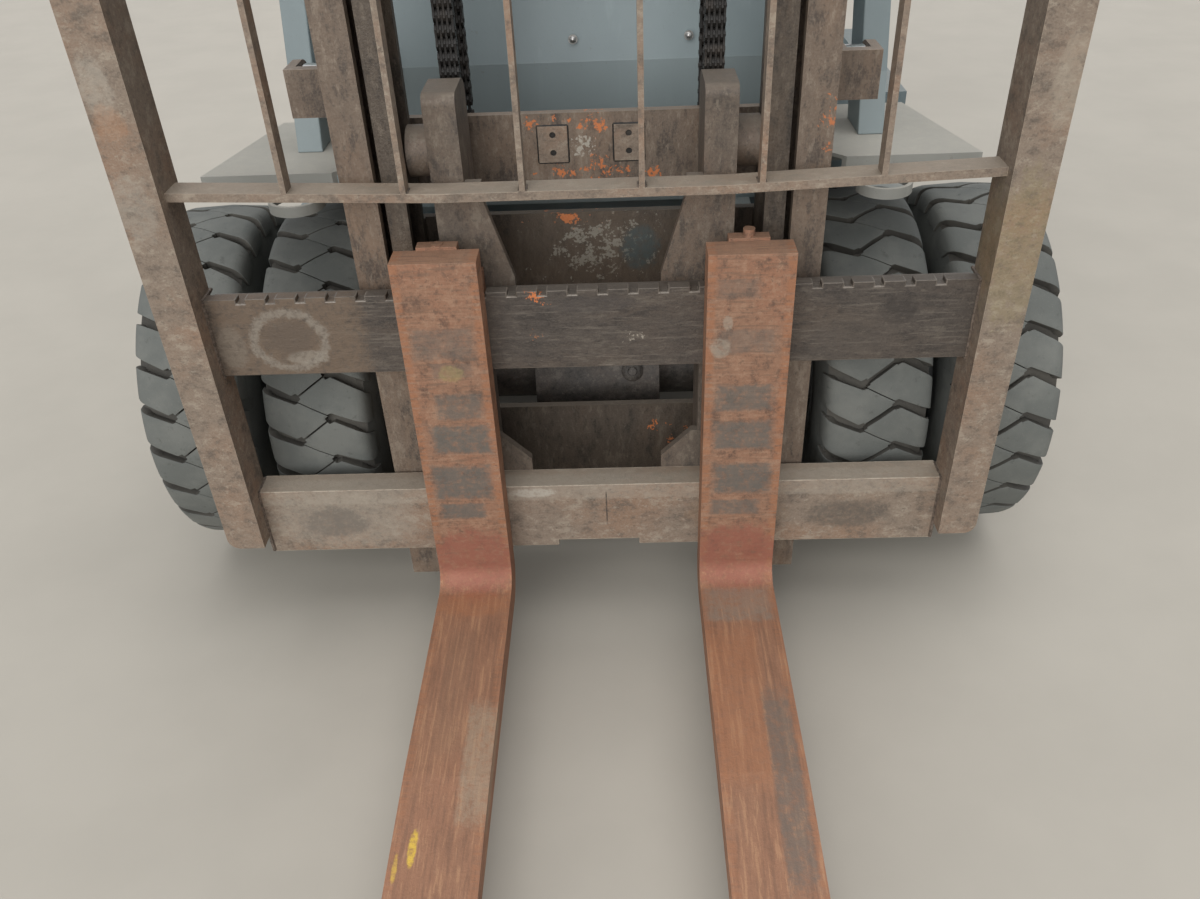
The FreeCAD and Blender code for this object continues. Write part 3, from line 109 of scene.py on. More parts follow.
# %% Flow and Finish
class Flow:
    """The output of a shader node. Python's operators on it add Math nodes to the same material."""

    def __init__(self, finish, socket):
        self.finish = finish
        self.socket = socket

    def maths(self, operation, first, second):
        return self.finish.node("ShaderNodeMath", {"operation": operation}, {0: first, 1: second})

    def __add__(self, other):
        return self.maths("ADD", self, other)

    def __radd__(self, other):
        return self.maths("ADD", other, self)

    def __sub__(self, other):
        return self.maths("SUBTRACT", self, other)

    def __rsub__(self, other):
        return self.maths("SUBTRACT", other, self)

    def __mul__(self, other):
        return self.maths("MULTIPLY", self, other)

    def __abs__(self):
        return self.maths("ABSOLUTE", self, 0)

    def most(self, other):
        return self.maths("MAXIMUM", self, other)

    def between(self, low, high):
        """0 below low, 1 above high, and a smooth step between them; low may be the larger."""
        return self.finish.node(
            "ShaderNodeMapRange", {"interpolation_type": "SMOOTHSTEP"},
            {"Value": self, "From Min": low, "From Max": high, "To Min": 0, "To Max": 1})


class Finish:
    """A material, with the few nodes that every finish here is made of."""

    def __init__(self, name):
        self.material = bpy.data.materials.new(name)
        self.material.use_nodes = True
        self.tree = self.material.node_tree
        self.shader = self.tree.nodes["Principled BSDF"]
        self.place = self.node("ShaderNodeTexCoord", output="Object")
        self.tone = None
        self.rag = None
        self.thin = None

    def put(self, socket, value):
        if isinstance(value, Flow):
            self.tree.links.new(value.socket, socket)
        elif isinstance(value, tuple) and socket.type == "RGBA":
            socket.default_value = (*value, 1)
        else:
            socket.default_value = value

    def node(self, kind, settings=None, values=None, output=0):
        """A node of this type: its settings first, then the values or links of its sockets."""
        made = self.tree.nodes.new(kind)
        for name, setting in (settings or {}).items():
            setattr(made, name, setting)
        for name, value in (values or {}).items():
            self.put(made.inputs[name], value)
        return Flow(self, made.outputs[output])

    def stretched(self, x=1.0, y=1.0, z=1.0):
        """The object's own coordinates, scaled along each axis."""
        return self.node("ShaderNodeVectorMath", {"operation": "MULTIPLY"}, {0: self.place, 1: (x, y, z)})

    def noise(self, scale, detail=4.0, roughness=0.6, place=None, seed=0.0):
        where = self.node("ShaderNodeVectorMath", {"operation": "ADD"},
                          {0: place or self.place, 1: (seed, seed * 1.7, seed * 0.6)})
        return self.node("ShaderNodeTexNoise", {}, {
            "Vector": where, "Scale": scale, "Detail": detail, "Roughness": roughness})

    def axis(self, name, vector=None):
        """One coordinate, X, Y or Z, of a vector, or of the object's own place in metres."""
        return self.node("ShaderNodeSeparateXYZ", {}, {"Vector": vector or self.place}, output=name)

    def facing(self, name):
        """How far the surface faces along +X, +Y or +Z, from -1 to 1."""
        return self.axis(name, self.node("ShaderNodeNewGeometry", output="Normal"))

    def torn(self):
        """Fine noise about 0 that tears the edges of marks. All marks of a finish share it."""
        if self.rag is None:
            broad, fine = self.noise(48, 5, 0.7, seed=2.9), self.noise(170, 3, 0.6, seed=8.1)
            self.rag = broad * 0.65 + fine * 0.35 - 0.5
        return self.rag

    def away(self, middle, size):
        """The way from a place on the truck, in shares of a size along each axis."""
        apart = self.node("ShaderNodeVectorMath", {"operation": "SUBTRACT"}, {0: self.place, 1: middle})
        return self.node("ShaderNodeVectorMath", {"operation": "DIVIDE"}, {0: apart, 1: size})

    def reach(self, middle, size):
        """How far out a place is: 1 on the ellipsoid with these half sizes."""
        away = self.away(middle, size)
        return self.node("ShaderNodeVectorMath", {"operation": "LENGTH"}, {0: away}, output="Value")

    def spot(self, middle, size, ragged=1.4):
        """1 inside an ellipsoid about a place and 0 outside, with a torn edge."""
        return (self.reach(middle, size) + self.torn() * ragged).between(1.16, 0.72)

    def patch(self, middle, size, ragged=0.9):
        """The same for a box, for marks that were rubbed or scraped square."""
        apart = self.node("ShaderNodeVectorMath", {"operation": "ABSOLUTE"}, {0: self.away(middle, size)})
        far = self.axis("X", apart).most(self.axis("Y", apart)).most(self.axis("Z", apart))
        return (far + self.torn() * ragged).between(1.16, 0.80)

    def flecks(self, middle, size):
        """Broken chips inside an ellipsoid, where paint has held on."""
        return (self.torn() - self.reach(middle, size) * 0.085).between(-0.025, 0.015)

    def ring(self, middle, size, ragged=0.7):
        """The outline of an ellipsoid, for the stain that a drying puddle or a rubbing hoop leaves."""
        return abs(self.reach(middle, size) + self.torn() * ragged - 0.9).between(0.20, 0.03)

    def mix(self, share, below, above):
        """The colour below where share is 0, and the colour above where it is 1."""
        made = self.tree.nodes.new("ShaderNodeMix")
        made.data_type = "RGBA"
        for index, value in ((0, share), (6, below), (7, above)):
            self.put(made.inputs[index], value)
        return Flow(self, made.outputs[2])

    def layers(self, colour, *coats):
        """A colour with coats over it, each a share and a colour."""
        for share, coat in coats:
            colour = self.mix(share, colour, coat)
        return colour

    def relief(self, height, distance):
        """A normal from a height, for the shader's Normal socket."""
        return self.node("ShaderNodeBump", {}, {"Height": height, "Distance": distance, "Strength": 1.0})

    def done(self, **sockets):
        """Set the shader's sockets, by their names with _ for a space."""
        for name, value in sockets.items():
            self.put(self.shader.inputs[name.replace("_", " ")], value)
        self.tone = sockets.get("Base_Color", self.tone)
        return self.material

    def coat(self, share, colour):
        """Lay one more coat over the colour."""
        self.tone = self.mix(share, self.tone, colour)
        self.put(self.shader.inputs["Base Color"], self.tone)

    def marks(self, *rows):
        """Coats that lie at places. Each row is a mask, a middle, a size, a share and a colour."""
        if self.thin is None:
            self.thin = self.noise(70, 6, 0.75, seed=6.6).between(0.30, 0.56) * 0.75 + 0.25
        for mask, middle, size, share, colour in rows:
            cover = getattr(self, mask)(middle, size) * share
            self.coat(cover if mask == "flecks" else cover * self.thin, colour)


print("Flow and Finish are ready")

# %% [markdown]
# ## Bare and painted steel
#
# The forks, carriage and mast have lost their paint. What is left is brown rust, rubbed grey where
# loads slide, with dust in the corners. One function makes all of these: a ground colour broken up
# by noise at three sizes, so that it reads as metal from across the room and from a hand away. On
# top of it each part gets marks at the places where the photograph shows wear, chips and scuffs.

# %% Steel without paint
def steel(name, ground, dark, warm, dust, rough=0.72, metal=0.25, stretch=(1, 1, 1), relief=0.0012,
          worn=0.0):
    """Rusted or greased steel. Worn above 0 makes the paler finish of its rubbed edges."""
    made = Finish(name)
    rolled = made.stretched(*stretch)
    clouds = made.noise(5.5, 5, 0.62, place=rolled, seed=3.1)
    patches = made.noise(30, 7, 0.74, place=rolled, seed=9.4)
    scrapes = made.noise(74, 6, 0.76, place=rolled, seed=2.7)
    grain = made.noise(240, 3, 0.6, seed=1.3)
    pits = made.noise(110, 5, 0.74, seed=5.5)
    colour = made.layers(
        ground,
        (clouds.between(0.42, 0.66) * 0.75, warm),
        (patches.between(0.50, 0.64) * 0.75, dark),
        (patches.between(0.47, 0.36) * 0.60, dust),
        (scrapes.between(0.55, 0.66) * 0.60, dust),
        (scrapes.between(0.45, 0.36) * 0.55, dark),
        (pits.between(0.57, 0.68) * 0.60, dark),
        (grain.between(0.35, 0.75) * 0.30, dust))
    above = made.facing("Z").between(0.55, 0.95)
    colour = made.mix(above * (0.25 + patches * 0.5), colour, dust)
    if worn:
        rubbed = tuple(min(1, part * 1.5 + 0.03) for part in dust)
        colour = made.mix(patches.between(0.36, 0.58) * worn, colour, rubbed)
    roughness = rough + (grain - 0.5) * 0.24 - clouds.between(0.5, 0.7) * 0.10
    height = pits * 0.7 + grain * 0.3 + patches * 0.8
    made.done(Base_Color=colour, Roughness=roughness, Metallic=metal, Normal=made.relief(height, relief))
    return made


FORK_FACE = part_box("carriage_upper_bar")[0].y
BAR_LOW, BAR_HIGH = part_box("carriage_upper_bar")
LOW_BAR_LOW, LOW_BAR_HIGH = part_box("carriage_lower_bar")
RUST = (0.255, 0.138, 0.086)
RUST_DARK = (0.080, 0.048, 0.036)
RUST_RED = (0.270, 0.100, 0.066)
# The orange of rust, also used for the painted highlight along the sides of the forks' shanks
RUST_ORANGE_AND_HIGHLIGHT = (0.360, 0.152, 0.070)
WORN_GREY = (0.118, 0.112, 0.098)
PALE_STEEL = (0.330, 0.285, 0.225)
OLD_ORANGE = (0.560, 0.180, 0.060)
YELLOW_MARK = (0.640, 0.430, 0.060)
OLIVE = (0.270, 0.225, 0.110)

RUSTY = ((0.290, 0.135, 0.078), (0.350, 0.215, 0.140))
forged = steel("rusty forged steel", RUST, RUST_DARK, *RUSTY, rough=0.66, metal=0.28,
               stretch=(1.0, 0.45, 0.8), relief=0.0016)
forged_edge = steel("rubbed fork edges", (0.330, 0.160, 0.090), RUST_DARK, *RUSTY, rough=0.52, metal=0.35,
                    relief=0.0010, worn=0.55)
SHANK_FRONT = -1.125
BLADE_TOP = 0.190
shank_lines = forged.noise(150, 3, 0.7, place=forged.stretched(0.10, 1, 1), seed=4.0)
blade_lines = forged.noise(120, 4, 0.7, place=forged.stretched(1, 0.05, 1), seed=6.0)
on_blade = forged.axis("Z").between(0.245, 0.215)
forged.coat(on_blade * 0.40, (0.235, 0.086, 0.036))
forged.coat(shank_lines.between(0.52, 0.66) * (1 - on_blade) * 0.55, (0.150, 0.098, 0.068))
forged.coat(shank_lines.between(0.46, 0.36) * (1 - on_blade) * 0.35, (0.350, 0.225, 0.150))
forged.coat(blade_lines.between(0.50, 0.64) * on_blade * 0.55, (0.170, 0.090, 0.056))
forged.coat(blade_lines.between(0.47, 0.37) * on_blade * 0.50, (0.450, 0.255, 0.140))
for fork in ("fork_left", "fork_right"):
    low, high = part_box(fork)
    middle = (low.x + high.x) / 2
    aside = abs(forged.axis("X") - middle)
    near = aside.between(0.100, 0.090)
    # Painted highlight: an orange band along the sides of each shank stands for light catching its edges
    painted_edge_highlight = aside.between(0.060, 0.069) * near * (1 - on_blade * 0.4)
    forged.coat(painted_edge_highlight * shank_lines.between(0.40, 0.60) * 0.55, RUST_ORANGE_AND_HIGHLIGHT)
    forged.marks(
        ("spot", (middle, SHANK_FRONT - 0.015, 0.262), (0.105, 0.080, 0.085), 0.85, RUST_RED),
        ("spot", (middle, SHANK_FRONT - 0.075, BLADE_TOP), (0.078, 0.040, 0.050), 0.45, RUST_ORANGE_AND_HIGHLIGHT))

# The rubbed patches of each shank: its middle, its half sizes across and up, and how dark it is
LEFT_RUBS = (
    (-0.277, 0.800, 0.058, 0.034, 0.50), (-0.266, 0.742, 0.040, 0.016, 0.40),
    (-0.262, 0.659, 0.046, 0.030, 0.70), (-0.266, 0.580, 0.058, 0.034, 0.85),
    (-0.278, 0.470, 0.058, 0.042, 0.85), (-0.284, 0.395, 0.046, 0.020, 0.80))
RIGHT_RUBS = (
    (0.280, 0.900, 0.040, 0.020, 0.35), (0.300, 0.790, 0.056, 0.026, 0.45),
    (0.300, 0.663, 0.056, 0.030, 0.75), (0.302, 0.575, 0.058, 0.034, 0.80),
    (0.305, 0.466, 0.058, 0.038, 0.85), (0.292, 0.390, 0.050, 0.020, 0.70))
for x, z, wide, tall, share in LEFT_RUBS + RIGHT_RUBS:
    forged.marks(("patch", (x, SHANK_FRONT, z), (wide, 0.030, tall), share, WORN_GREY))
forged.marks(
    ("spot", (-0.269, SHANK_FRONT, 0.735), (0.026, 0.03, 0.020), 0.45, (0.330, 0.270, 0.110)),
    ("spot", (0.250, SHANK_FRONT, 0.777), (0.020, 0.03, 0.022), 0.60, PALE_STEEL),
    ("spot", (0.262, SHANK_FRONT, 0.830), (0.010, 0.03, 0.016), 0.55, PALE_STEEL),
    ("patch", (-0.221, -1.610, BLADE_TOP), (0.030, 0.130, 0.030), 0.60, (0.320, 0.250, 0.175)),
    ("patch", (-0.286, -1.440, BLADE_TOP), (0.030, 0.160, 0.030), 0.40, (0.230, 0.130, 0.080)),
    ("patch", (0.300, -1.215, BLADE_TOP), (0.070, 0.050, 0.030), 0.60, (0.230, 0.200, 0.160)),
    ("patch", (0.276, -1.480, BLADE_TOP), (0.050, 0.190, 0.030), 0.45, RUST_ORANGE_AND_HIGHLIGHT),
    ("patch", (0.344, -1.660, BLADE_TOP), (0.026, 0.200, 0.030), 0.70, (0.130, 0.116, 0.098)),
    ("spot", (-0.318, -1.786, BLADE_TOP), (0.008, 0.036, 0.02), 0.90, YELLOW_MARK),
    ("spot", (-0.343, -1.822, BLADE_TOP), (0.005, 0.028, 0.02), 0.60, YELLOW_MARK))

bar_middle = (BAR_LOW.z + BAR_HIGH.z) / 2
low_middle = (LOW_BAR_LOW.z + LOW_BAR_HIGH.z) / 2
BAR_TONES = ((0.070, 0.058, 0.049), (0.034, 0.029, 0.026), (0.092, 0.070, 0.054), (0.140, 0.119, 0.096))
dark_bar = steel("dark worn bar", *BAR_TONES, rough=0.60, metal=0.35, stretch=(0.5, 1, 1.4), relief=0.0016)
dark_bar_edge = steel("rubbed bar edges", *BAR_TONES, rough=0.50, metal=0.4, worn=0.6, relief=0.0008)
bar_lines = dark_bar.noise(110, 4, 0.7, place=dark_bar.stretched(0.06, 1, 1), seed=2.0)
dark_bar.coat(bar_lines.between(0.54, 0.68) * 0.45, (0.200, 0.172, 0.142))
dark_bar.marks(
    ("patch", (-0.590, FORK_FACE, bar_middle), (0.150, 0.08, 0.110), 0.80, (0.165, 0.118, 0.082)),
    ("ring", (-0.590, FORK_FACE, bar_middle - 0.006), (0.078, 0.30, 0.068), 0.48, (0.320, 0.295, 0.250)),
    ("spot", (-0.560, FORK_FACE, bar_middle - 0.045), (0.040, 0.30, 0.016), 0.60, (0.290, 0.260, 0.215)),
    ("spot", (-0.590, FORK_FACE, bar_middle), (0.052, 0.08, 0.040), 0.70, (0.110, 0.084, 0.064)),
    ("spot", (-0.705, FORK_FACE, bar_middle - 0.02), (0.030, 0.08, 0.050), 0.55, (0.200, 0.170, 0.135)),
    ("flecks", (-0.094, FORK_FACE, BAR_HIGH.z - 0.008), (0.022, 0.05, 0.016), 0.95, OLD_ORANGE),
    ("flecks", (-0.108, FORK_FACE, 0.778), (0.014, 0.05, 0.012), 0.90, RUST_ORANGE_AND_HIGHLIGHT),
    ("flecks", (0.087, FORK_FACE, 0.776), (0.022, 0.05, 0.010), 0.80, (0.380, 0.340, 0.280)),
    ("spot", (0.010, FORK_FACE, 0.845), (0.090, 0.05, 0.018), 0.45, (0.060, 0.052, 0.048)),
    ("spot", (0.593, FORK_FACE, 0.815), (0.040, 0.08, 0.030), 0.65, (0.034, 0.029, 0.026)),
    ("spot", (0.520, FORK_FACE, bar_middle - 0.02), (0.090, 0.08, 0.050), 0.35, (0.105, 0.086, 0.070)))

TAUPE_TONES = ((0.215, 0.165, 0.125), (0.100, 0.078, 0.062), (0.250, 0.150, 0.095), (0.345, 0.295, 0.230))
taupe = steel("taupe worn steel", *TAUPE_TONES, rough=0.70, metal=0.22, stretch=(0.7, 1, 1), relief=0.0016)
taupe_edge = steel("rubbed taupe edges", *TAUPE_TONES, rough=0.55, metal=0.3, worn=0.7, relief=0.0008)
taupe.marks(
    ("patch", (0.0, FORK_FACE, LOW_BAR_HIGH.z - 0.016), (0.80, 0.04, 0.022), 0.40, (0.360, 0.320, 0.260)),
    ("spot", (-0.560, FORK_FACE, low_middle), (0.180, 0.06, 0.085), 0.50, (0.330, 0.290, 0.235)),
    ("spot", (-0.585, FORK_FACE, low_middle - 0.005), (0.080, 0.06, 0.042), 0.70, (0.135, 0.118, 0.100)),
    ("spot", (0.550, FORK_FACE, low_middle - 0.010), (0.092, 0.06, 0.040), 0.75, (0.110, 0.092, 0.074)),
    ("spot", (-0.140, FORK_FACE, 0.392), (0.052, 0.06, 0.012), 0.65, (0.440, 0.410, 0.350)),
    ("patch", (0.020, FORK_FACE, low_middle + 0.02), (0.0016, 0.04, 0.045), 0.85, (0.050, 0.040, 0.034)),
    ("spot", (0.300, FORK_FACE, low_middle), (0.110, 0.06, 0.050), 0.40, (0.270, 0.180, 0.110)),
    ("spot", (-0.790, -1.085, 1.290), (0.030, 0.09, 0.060), 0.55, (0.380, 0.340, 0.280)),
    ("spot", (-0.785, -1.085, 1.230), (0.030, 0.09, 0.035), 0.42, (0.340, 0.175, 0.090)),
    ("spot", (-0.790, -1.085, 1.080), (0.040, 0.09, 0.070), 0.45, (0.330, 0.300, 0.250)),
    ("spot", (0.780, -1.085, 0.950), (0.060, 0.12, 0.160), 0.34, OLIVE),
    ("spot", (0.800, -1.085, 1.250), (0.030, 0.09, 0.090), 0.45, (0.370, 0.320, 0.250)))

plate_steel = steel("dark plate steel", (0.115, 0.090, 0.070), (0.048, 0.040, 0.034), (0.150, 0.104, 0.074),
                    (0.215, 0.180, 0.140), rough=0.62, metal=0.28, stretch=(1, 1, 0.5), relief=0.0014)
MAST_TONES = ((0.150, 0.112, 0.084), (0.052, 0.042, 0.036), (0.205, 0.135, 0.090), (0.270, 0.220, 0.170))
mast_brown = steel("brown mast steel", *MAST_TONES, rough=0.55, metal=0.32, stretch=(1, 1, 0.35),
                   relief=0.0014)
mast_edge = steel("rubbed mast edges", *MAST_TONES, rough=0.42, metal=0.45, worn=0.75, relief=0.0008)
CROSS_FRONT = -0.795
INNER_FRONT = -0.818
GREASED_TONES = ((0.082, 0.064, 0.049), (0.030, 0.025, 0.021), (0.112, 0.078, 0.054), (0.165, 0.135, 0.104))
greased_mast = steel("greased mast steel", *GREASED_TONES, rough=0.48, metal=0.34, stretch=(1, 1, 0.35),
                     relief=0.0014)
greased_mast.marks(
    ("spot", (0.000, INNER_FRONT, 0.855), (0.260, 0.05, 0.090), 0.60, (0.110, 0.082, 0.058)),
    ("flecks", (0.022, INNER_FRONT, 0.855), (0.110, 0.05, 0.075), 0.60, (0.330, 0.310, 0.255)),
    ("spot", (0.106, INNER_FRONT, 0.850), (0.040, 0.05, 0.050), 0.80, (0.066, 0.088, 0.088)),
    ("flecks", (-0.035, INNER_FRONT, 0.918), (0.060, 0.05, 0.014), 0.90, OLD_ORANGE),
    ("flecks", (0.141, INNER_FRONT, 0.395), (0.018, 0.05, 0.012), 0.92, OLD_ORANGE),
    ("flecks", (0.214, INNER_FRONT, 0.381), (0.018, 0.05, 0.014), 0.92, OLD_ORANGE),
    ("flecks", (0.175, INNER_FRONT, 0.353), (0.014, 0.05, 0.012), 0.92, OLD_ORANGE))
mast_brown.marks(
    ("flecks", (-0.009, CROSS_FRONT, 1.067), (0.030, 0.05, 0.024), 0.80, (0.430, 0.400, 0.340)),
    ("flecks", (0.446, -0.995, 1.161), (0.018, 0.03, 0.050), 0.75, OLD_ORANGE))
# Flecks of old orange paint on the upper crossmember: their x, z and half sizes across and up
ORANGE_FLECKS = ((-0.108, 1.114, 0.020, 0.009), (-0.039, 1.113, 0.030, 0.007), (-0.001, 1.112, 0.014, 0.011),
                 (0.030, 1.106, 0.012, 0.018), (-0.055, 1.009, 0.022, 0.008), (-0.025, 1.003, 0.010, 0.010),
                 (0.027, 1.019, 0.018, 0.013), (0.084, 1.006, 0.024, 0.008), (0.126, 1.003, 0.016, 0.010))
for x, z, wide, tall in ORANGE_FLECKS:
    mast_brown.marks(("flecks", (x, CROSS_FRONT, z), (wide * 1.5, 0.06, tall * 1.7), 0.92, OLD_ORANGE))
print("Steel finishes:", len(bpy.data.materials))

# %% [markdown]
# ## Paint and castings
#
# The truck's body is blue-grey paint gone dull, with chips down to the steel and dust wherever it
# can lie. The same recipe with other colours does the fenders, the cowl, the rims and the casting of
# the counterweight, which is only rougher.

# %% Painted steel
def paint(name, colour, chip, dust, rough=0.48, chips=0.5, dusty=0.5, relief=0.0004, coarse=0.0,
          splash=0.0):
    """Old paint on metal: coarse gives the skin of a sand casting, splash is road dirt low down."""
    made = Finish(name)
    clouds = made.noise(3.2, 4, 0.6, seed=2.2)
    scuffs = made.noise(34, 6, 0.7, seed=7.1)
    fine = made.noise(180, 3, 0.6, seed=4.6)
    streaks = made.noise(22, 4, 0.6, place=made.stretched(1, 1, 0.12), seed=6.3)
    tone = made.layers(
        colour,
        (clouds.between(0.35, 0.7) * 0.35, tuple(part * 0.72 for part in colour)),
        (streaks.between(0.55, 0.75) * 0.22, tuple(min(1, part * 1.5 + 0.02) for part in colour)),
        (scuffs.between(0.66, 0.72) * chips, chip),
        (fine.between(0.60, 0.70) * scuffs.between(0.52, 0.62) * chips * 0.8, chip))
    if splash:
        low = made.axis("Z").between(0.95, 0.25)
        tone = made.mix(low * scuffs.between(0.36, 0.60) * splash, tone, dust)
    above = made.facing("Z").between(0.35, 0.95)
    tone = made.mix(above * (scuffs * 0.7 + 0.3) * dusty, tone, dust)
    roughness = rough + (fine - 0.5) * 0.16 + above * 0.2
    height = fine * 0.4 + scuffs * 0.6
    if coarse:
        height = height + made.noise(60, 3, 0.5, seed=8.8) * coarse
    made.done(Base_Color=tone, Roughness=roughness, Metallic=0.0, Normal=made.relief(height, relief))
    return made


GREY_DUST = (0.330, 0.305, 0.260)
BROWN_CHIP = (0.115, 0.072, 0.050)
body_blue = paint("body blue grey", (0.128, 0.172, 0.184), BROWN_CHIP, GREY_DUST, splash=0.55)
cowl_blue = paint("cowl blue grey", (0.200, 0.246, 0.252), BROWN_CHIP, GREY_DUST, rough=0.46, chips=0.35)
# Painted highlight: the cowl is painted lighter below z 1.13, for the light caught along its bend
cowl_bend_highlight = cowl_blue.axis("Z").between(1.135, 1.128)
cowl_blue.coat(cowl_bend_highlight * 0.40, (0.300, 0.345, 0.345))
fender_grey = paint("fender grey", (0.285, 0.285, 0.258), BROWN_CHIP, (0.430, 0.400, 0.340), rough=0.6,
                    dusty=0.8)
rim_grey = paint("rim grey", (0.200, 0.205, 0.198), BROWN_CHIP, (0.260, 0.240, 0.205), rough=0.6, dusty=0.1)
casting = paint("painted casting", (0.110, 0.158, 0.172), BROWN_CHIP, GREY_DUST, relief=0.0020, coarse=1.6,
                rough=0.55, splash=0.6)
deck = paint("worn deck", (0.080, 0.082, 0.082), (0.260, 0.250, 0.230), (0.230, 0.210, 0.180), chips=0.9)

# %% [markdown]
# ## Rubber, plastic, cloth and glass
#
# Rubber is matt and dusty, and darker in its grooves. Moulded and turned things need only one colour
# with a fine mottle, which a short recipe makes. The seat's vinyl has a leather grain.

# %% Rubber, plastic, cloth and glass
def rubber(name, ground, pale, dark, grey, relief=0.0008):
    """Dusty tyre rubber. Its dust lies by noise, not by height, because a tyre turns."""
    made = Finish(name)
    clouds = made.noise(9, 5, 0.6, seed=1.1)
    smears = made.noise(44, 5, 0.65, seed=3.8)
    grain = made.noise(300, 3, 0.6, seed=2.9)
    colour = made.layers(
        ground,
        (clouds.between(0.38, 0.66) * 0.60, pale),
        (smears.between(0.58, 0.74) * 0.55, dark),
        (grain.between(0.55, 0.8) * 0.30, grey))
    height = grain * 0.5 + smears
    made.done(Base_Color=colour, Roughness=0.84 + (grain - 0.5) * 0.2, Normal=made.relief(height, relief))
    return made


def plain(name, colour, rough, metal=0.0, spread=0.3, scale=60.0, relief=0.0003, coat=0.0):
    """A moulded or turned finish: one colour with a fine mottle."""
    made = Finish(name)
    mottle = made.noise(scale, 4, 0.6, seed=5.0)
    darker = tuple(part * (1 - spread) for part in colour)
    lighter = tuple(min(1, part * (1 + spread)) for part in colour)
    made.done(Base_Color=made.mix(mottle.between(0.3, 0.7), darker, lighter),
              Roughness=rough + (mottle - 0.5) * 0.2, Metallic=metal, Coat_Weight=coat,
              Normal=made.relief(mottle, relief))
    return made


def vinyl(name):
    """Seat vinyl: a leather grain of small cells, scuffed grey where it is sat on."""
    made = Finish(name)
    cells = made.node("ShaderNodeTexVoronoi", {"feature": "DISTANCE_TO_EDGE"},
                      {"Vector": made.place, "Scale": 420.0}, output="Distance")
    wear = made.noise(7, 4, 0.6, seed=4.4)
    colour = made.layers((0.028, 0.028, 0.030), (wear.between(0.45, 0.75) * 0.6, (0.075, 0.072, 0.068)))
    made.done(Base_Color=colour, Roughness=0.46 + wear * 0.2,
              Normal=made.relief(cells.between(0, 0.25), 0.0004))
    return made


grease = Finish("greased chain steel")
lumps = grease.noise(130, 5, 0.7, seed=2.0)
dirt = grease.noise(18, 4, 0.6, seed=6.0)
greased = grease.layers((0.020, 0.018, 0.016), (dirt.between(0.5, 0.8) * 0.7, (0.075, 0.060, 0.048)))
grease.done(Base_Color=greased, Roughness=0.38 + dirt * 0.3, Metallic=0.35,
            Normal=grease.relief(lumps, 0.0012))

tyre_rubber = rubber("dusty rubber", (0.106, 0.112, 0.103), (0.162, 0.165, 0.149), (0.056, 0.056, 0.050),
                     (0.225, 0.216, 0.188))
# Darker rubber for the grooves: their dirt, and painted shade where the grooves are deep
groove_dirt_and_shade = rubber("groove rubber with dirt and painted shade", (0.060, 0.056, 0.048), (0.100, 0.092, 0.076),
                       (0.034, 0.031, 0.027), (0.140, 0.126, 0.102), relief=0.0012)
seat_vinyl = vinyl("black seat vinyl")
oily_cast = steel("oily cast steel", (0.070, 0.062, 0.056), (0.024, 0.022, 0.020), (0.100, 0.072, 0.054),
                  (0.165, 0.145, 0.120), rough=0.6, metal=0.3)
chrome = plain("oiled chrome", (0.62, 0.61, 0.58), 0.16, metal=1.0, spread=0.08, scale=25)
black_paint = plain("black paint", (0.030, 0.031, 0.032), 0.42, spread=0.35, coat=0.1)
black_plastic = plain("black plastic", (0.028, 0.028, 0.030), 0.42, spread=0.25, scale=300)
bare_steel = plain("bare steel", (0.42, 0.41, 0.39), 0.34, metal=0.9, spread=0.25, scale=90)
lens_clear = plain("pale lens", (0.74, 0.73, 0.68), 0.16, spread=0.1, scale=14, coat=0.6)
lens_red = plain("red lens", (0.42, 0.030, 0.022), 0.18, spread=0.25, scale=14, coat=0.6)
weld_metal = plain("weld metal", (0.150, 0.118, 0.094), 0.5, metal=0.4, spread=0.4, scale=140)
print("Finishes:", len(bpy.data.materials))

# %% [markdown]
# ## Finishes onto the solids
#
# Each solid already names a material slot. A table pairs those slots with the finishes, so a new
# solid of an old kind is dressed without a new line. Hard edges on real steel catch the light
# because they are never sharp, so each solid also gets a narrow bevel. Its corners are welded
# first, because a bevel needs faces that share their edges.

# %% Dress the solids
SLOT_FINISH = {
    "forks": forged, "carriage_dark": dark_bar, "carriage_steel": taupe, "mast_steel": mast_brown,
    "chromed_rod": chrome, "chain_steel": grease, "tyre": tyre_rubber, "rim": rim_grey,
    "axle_steel": oily_cast, "body_paint": body_blue, "floor_plate": deck, "fender_paint": fender_grey,
    "cowl_paint": cowl_blue, "weight_paint": casting, "seat_cover": seat_vinyl, "dark_grille": black_paint,
    "engine_iron": oily_cast, "dark_plastic": black_plastic, "lever_steel": bare_steel,
    "lamp_glass": lens_clear, "lamp_red": lens_red,
}
NODE_FINISH = {"carriage_plates": plate_steel, "inner_mast": greased_mast, "head_lamps": black_paint,
               "rear_lamps": black_paint}
EDGE_FINISH = {"forks": forged_edge, "carriage_dark": dark_bar_edge, "carriage_steel": taupe_edge,
               "mast_steel": mast_edge}
EDGE_WIDTH = {
    "forks": 0.0040, "carriage_dark": 0.0025, "carriage_steel": 0.0025, "mast_steel": 0.0020,
    "weight_paint": 0.0120, "body_paint": 0.0035, "cowl_paint": 0.0025, "fender_paint": 0.0015,
    "engine_iron": 0.0080, "axle_steel": 0.0025, "floor_plate": 0.0015,
}
SLOT_OF = {part["node"]: part["material_slot"] for part in frame["record"]["subparts"]}


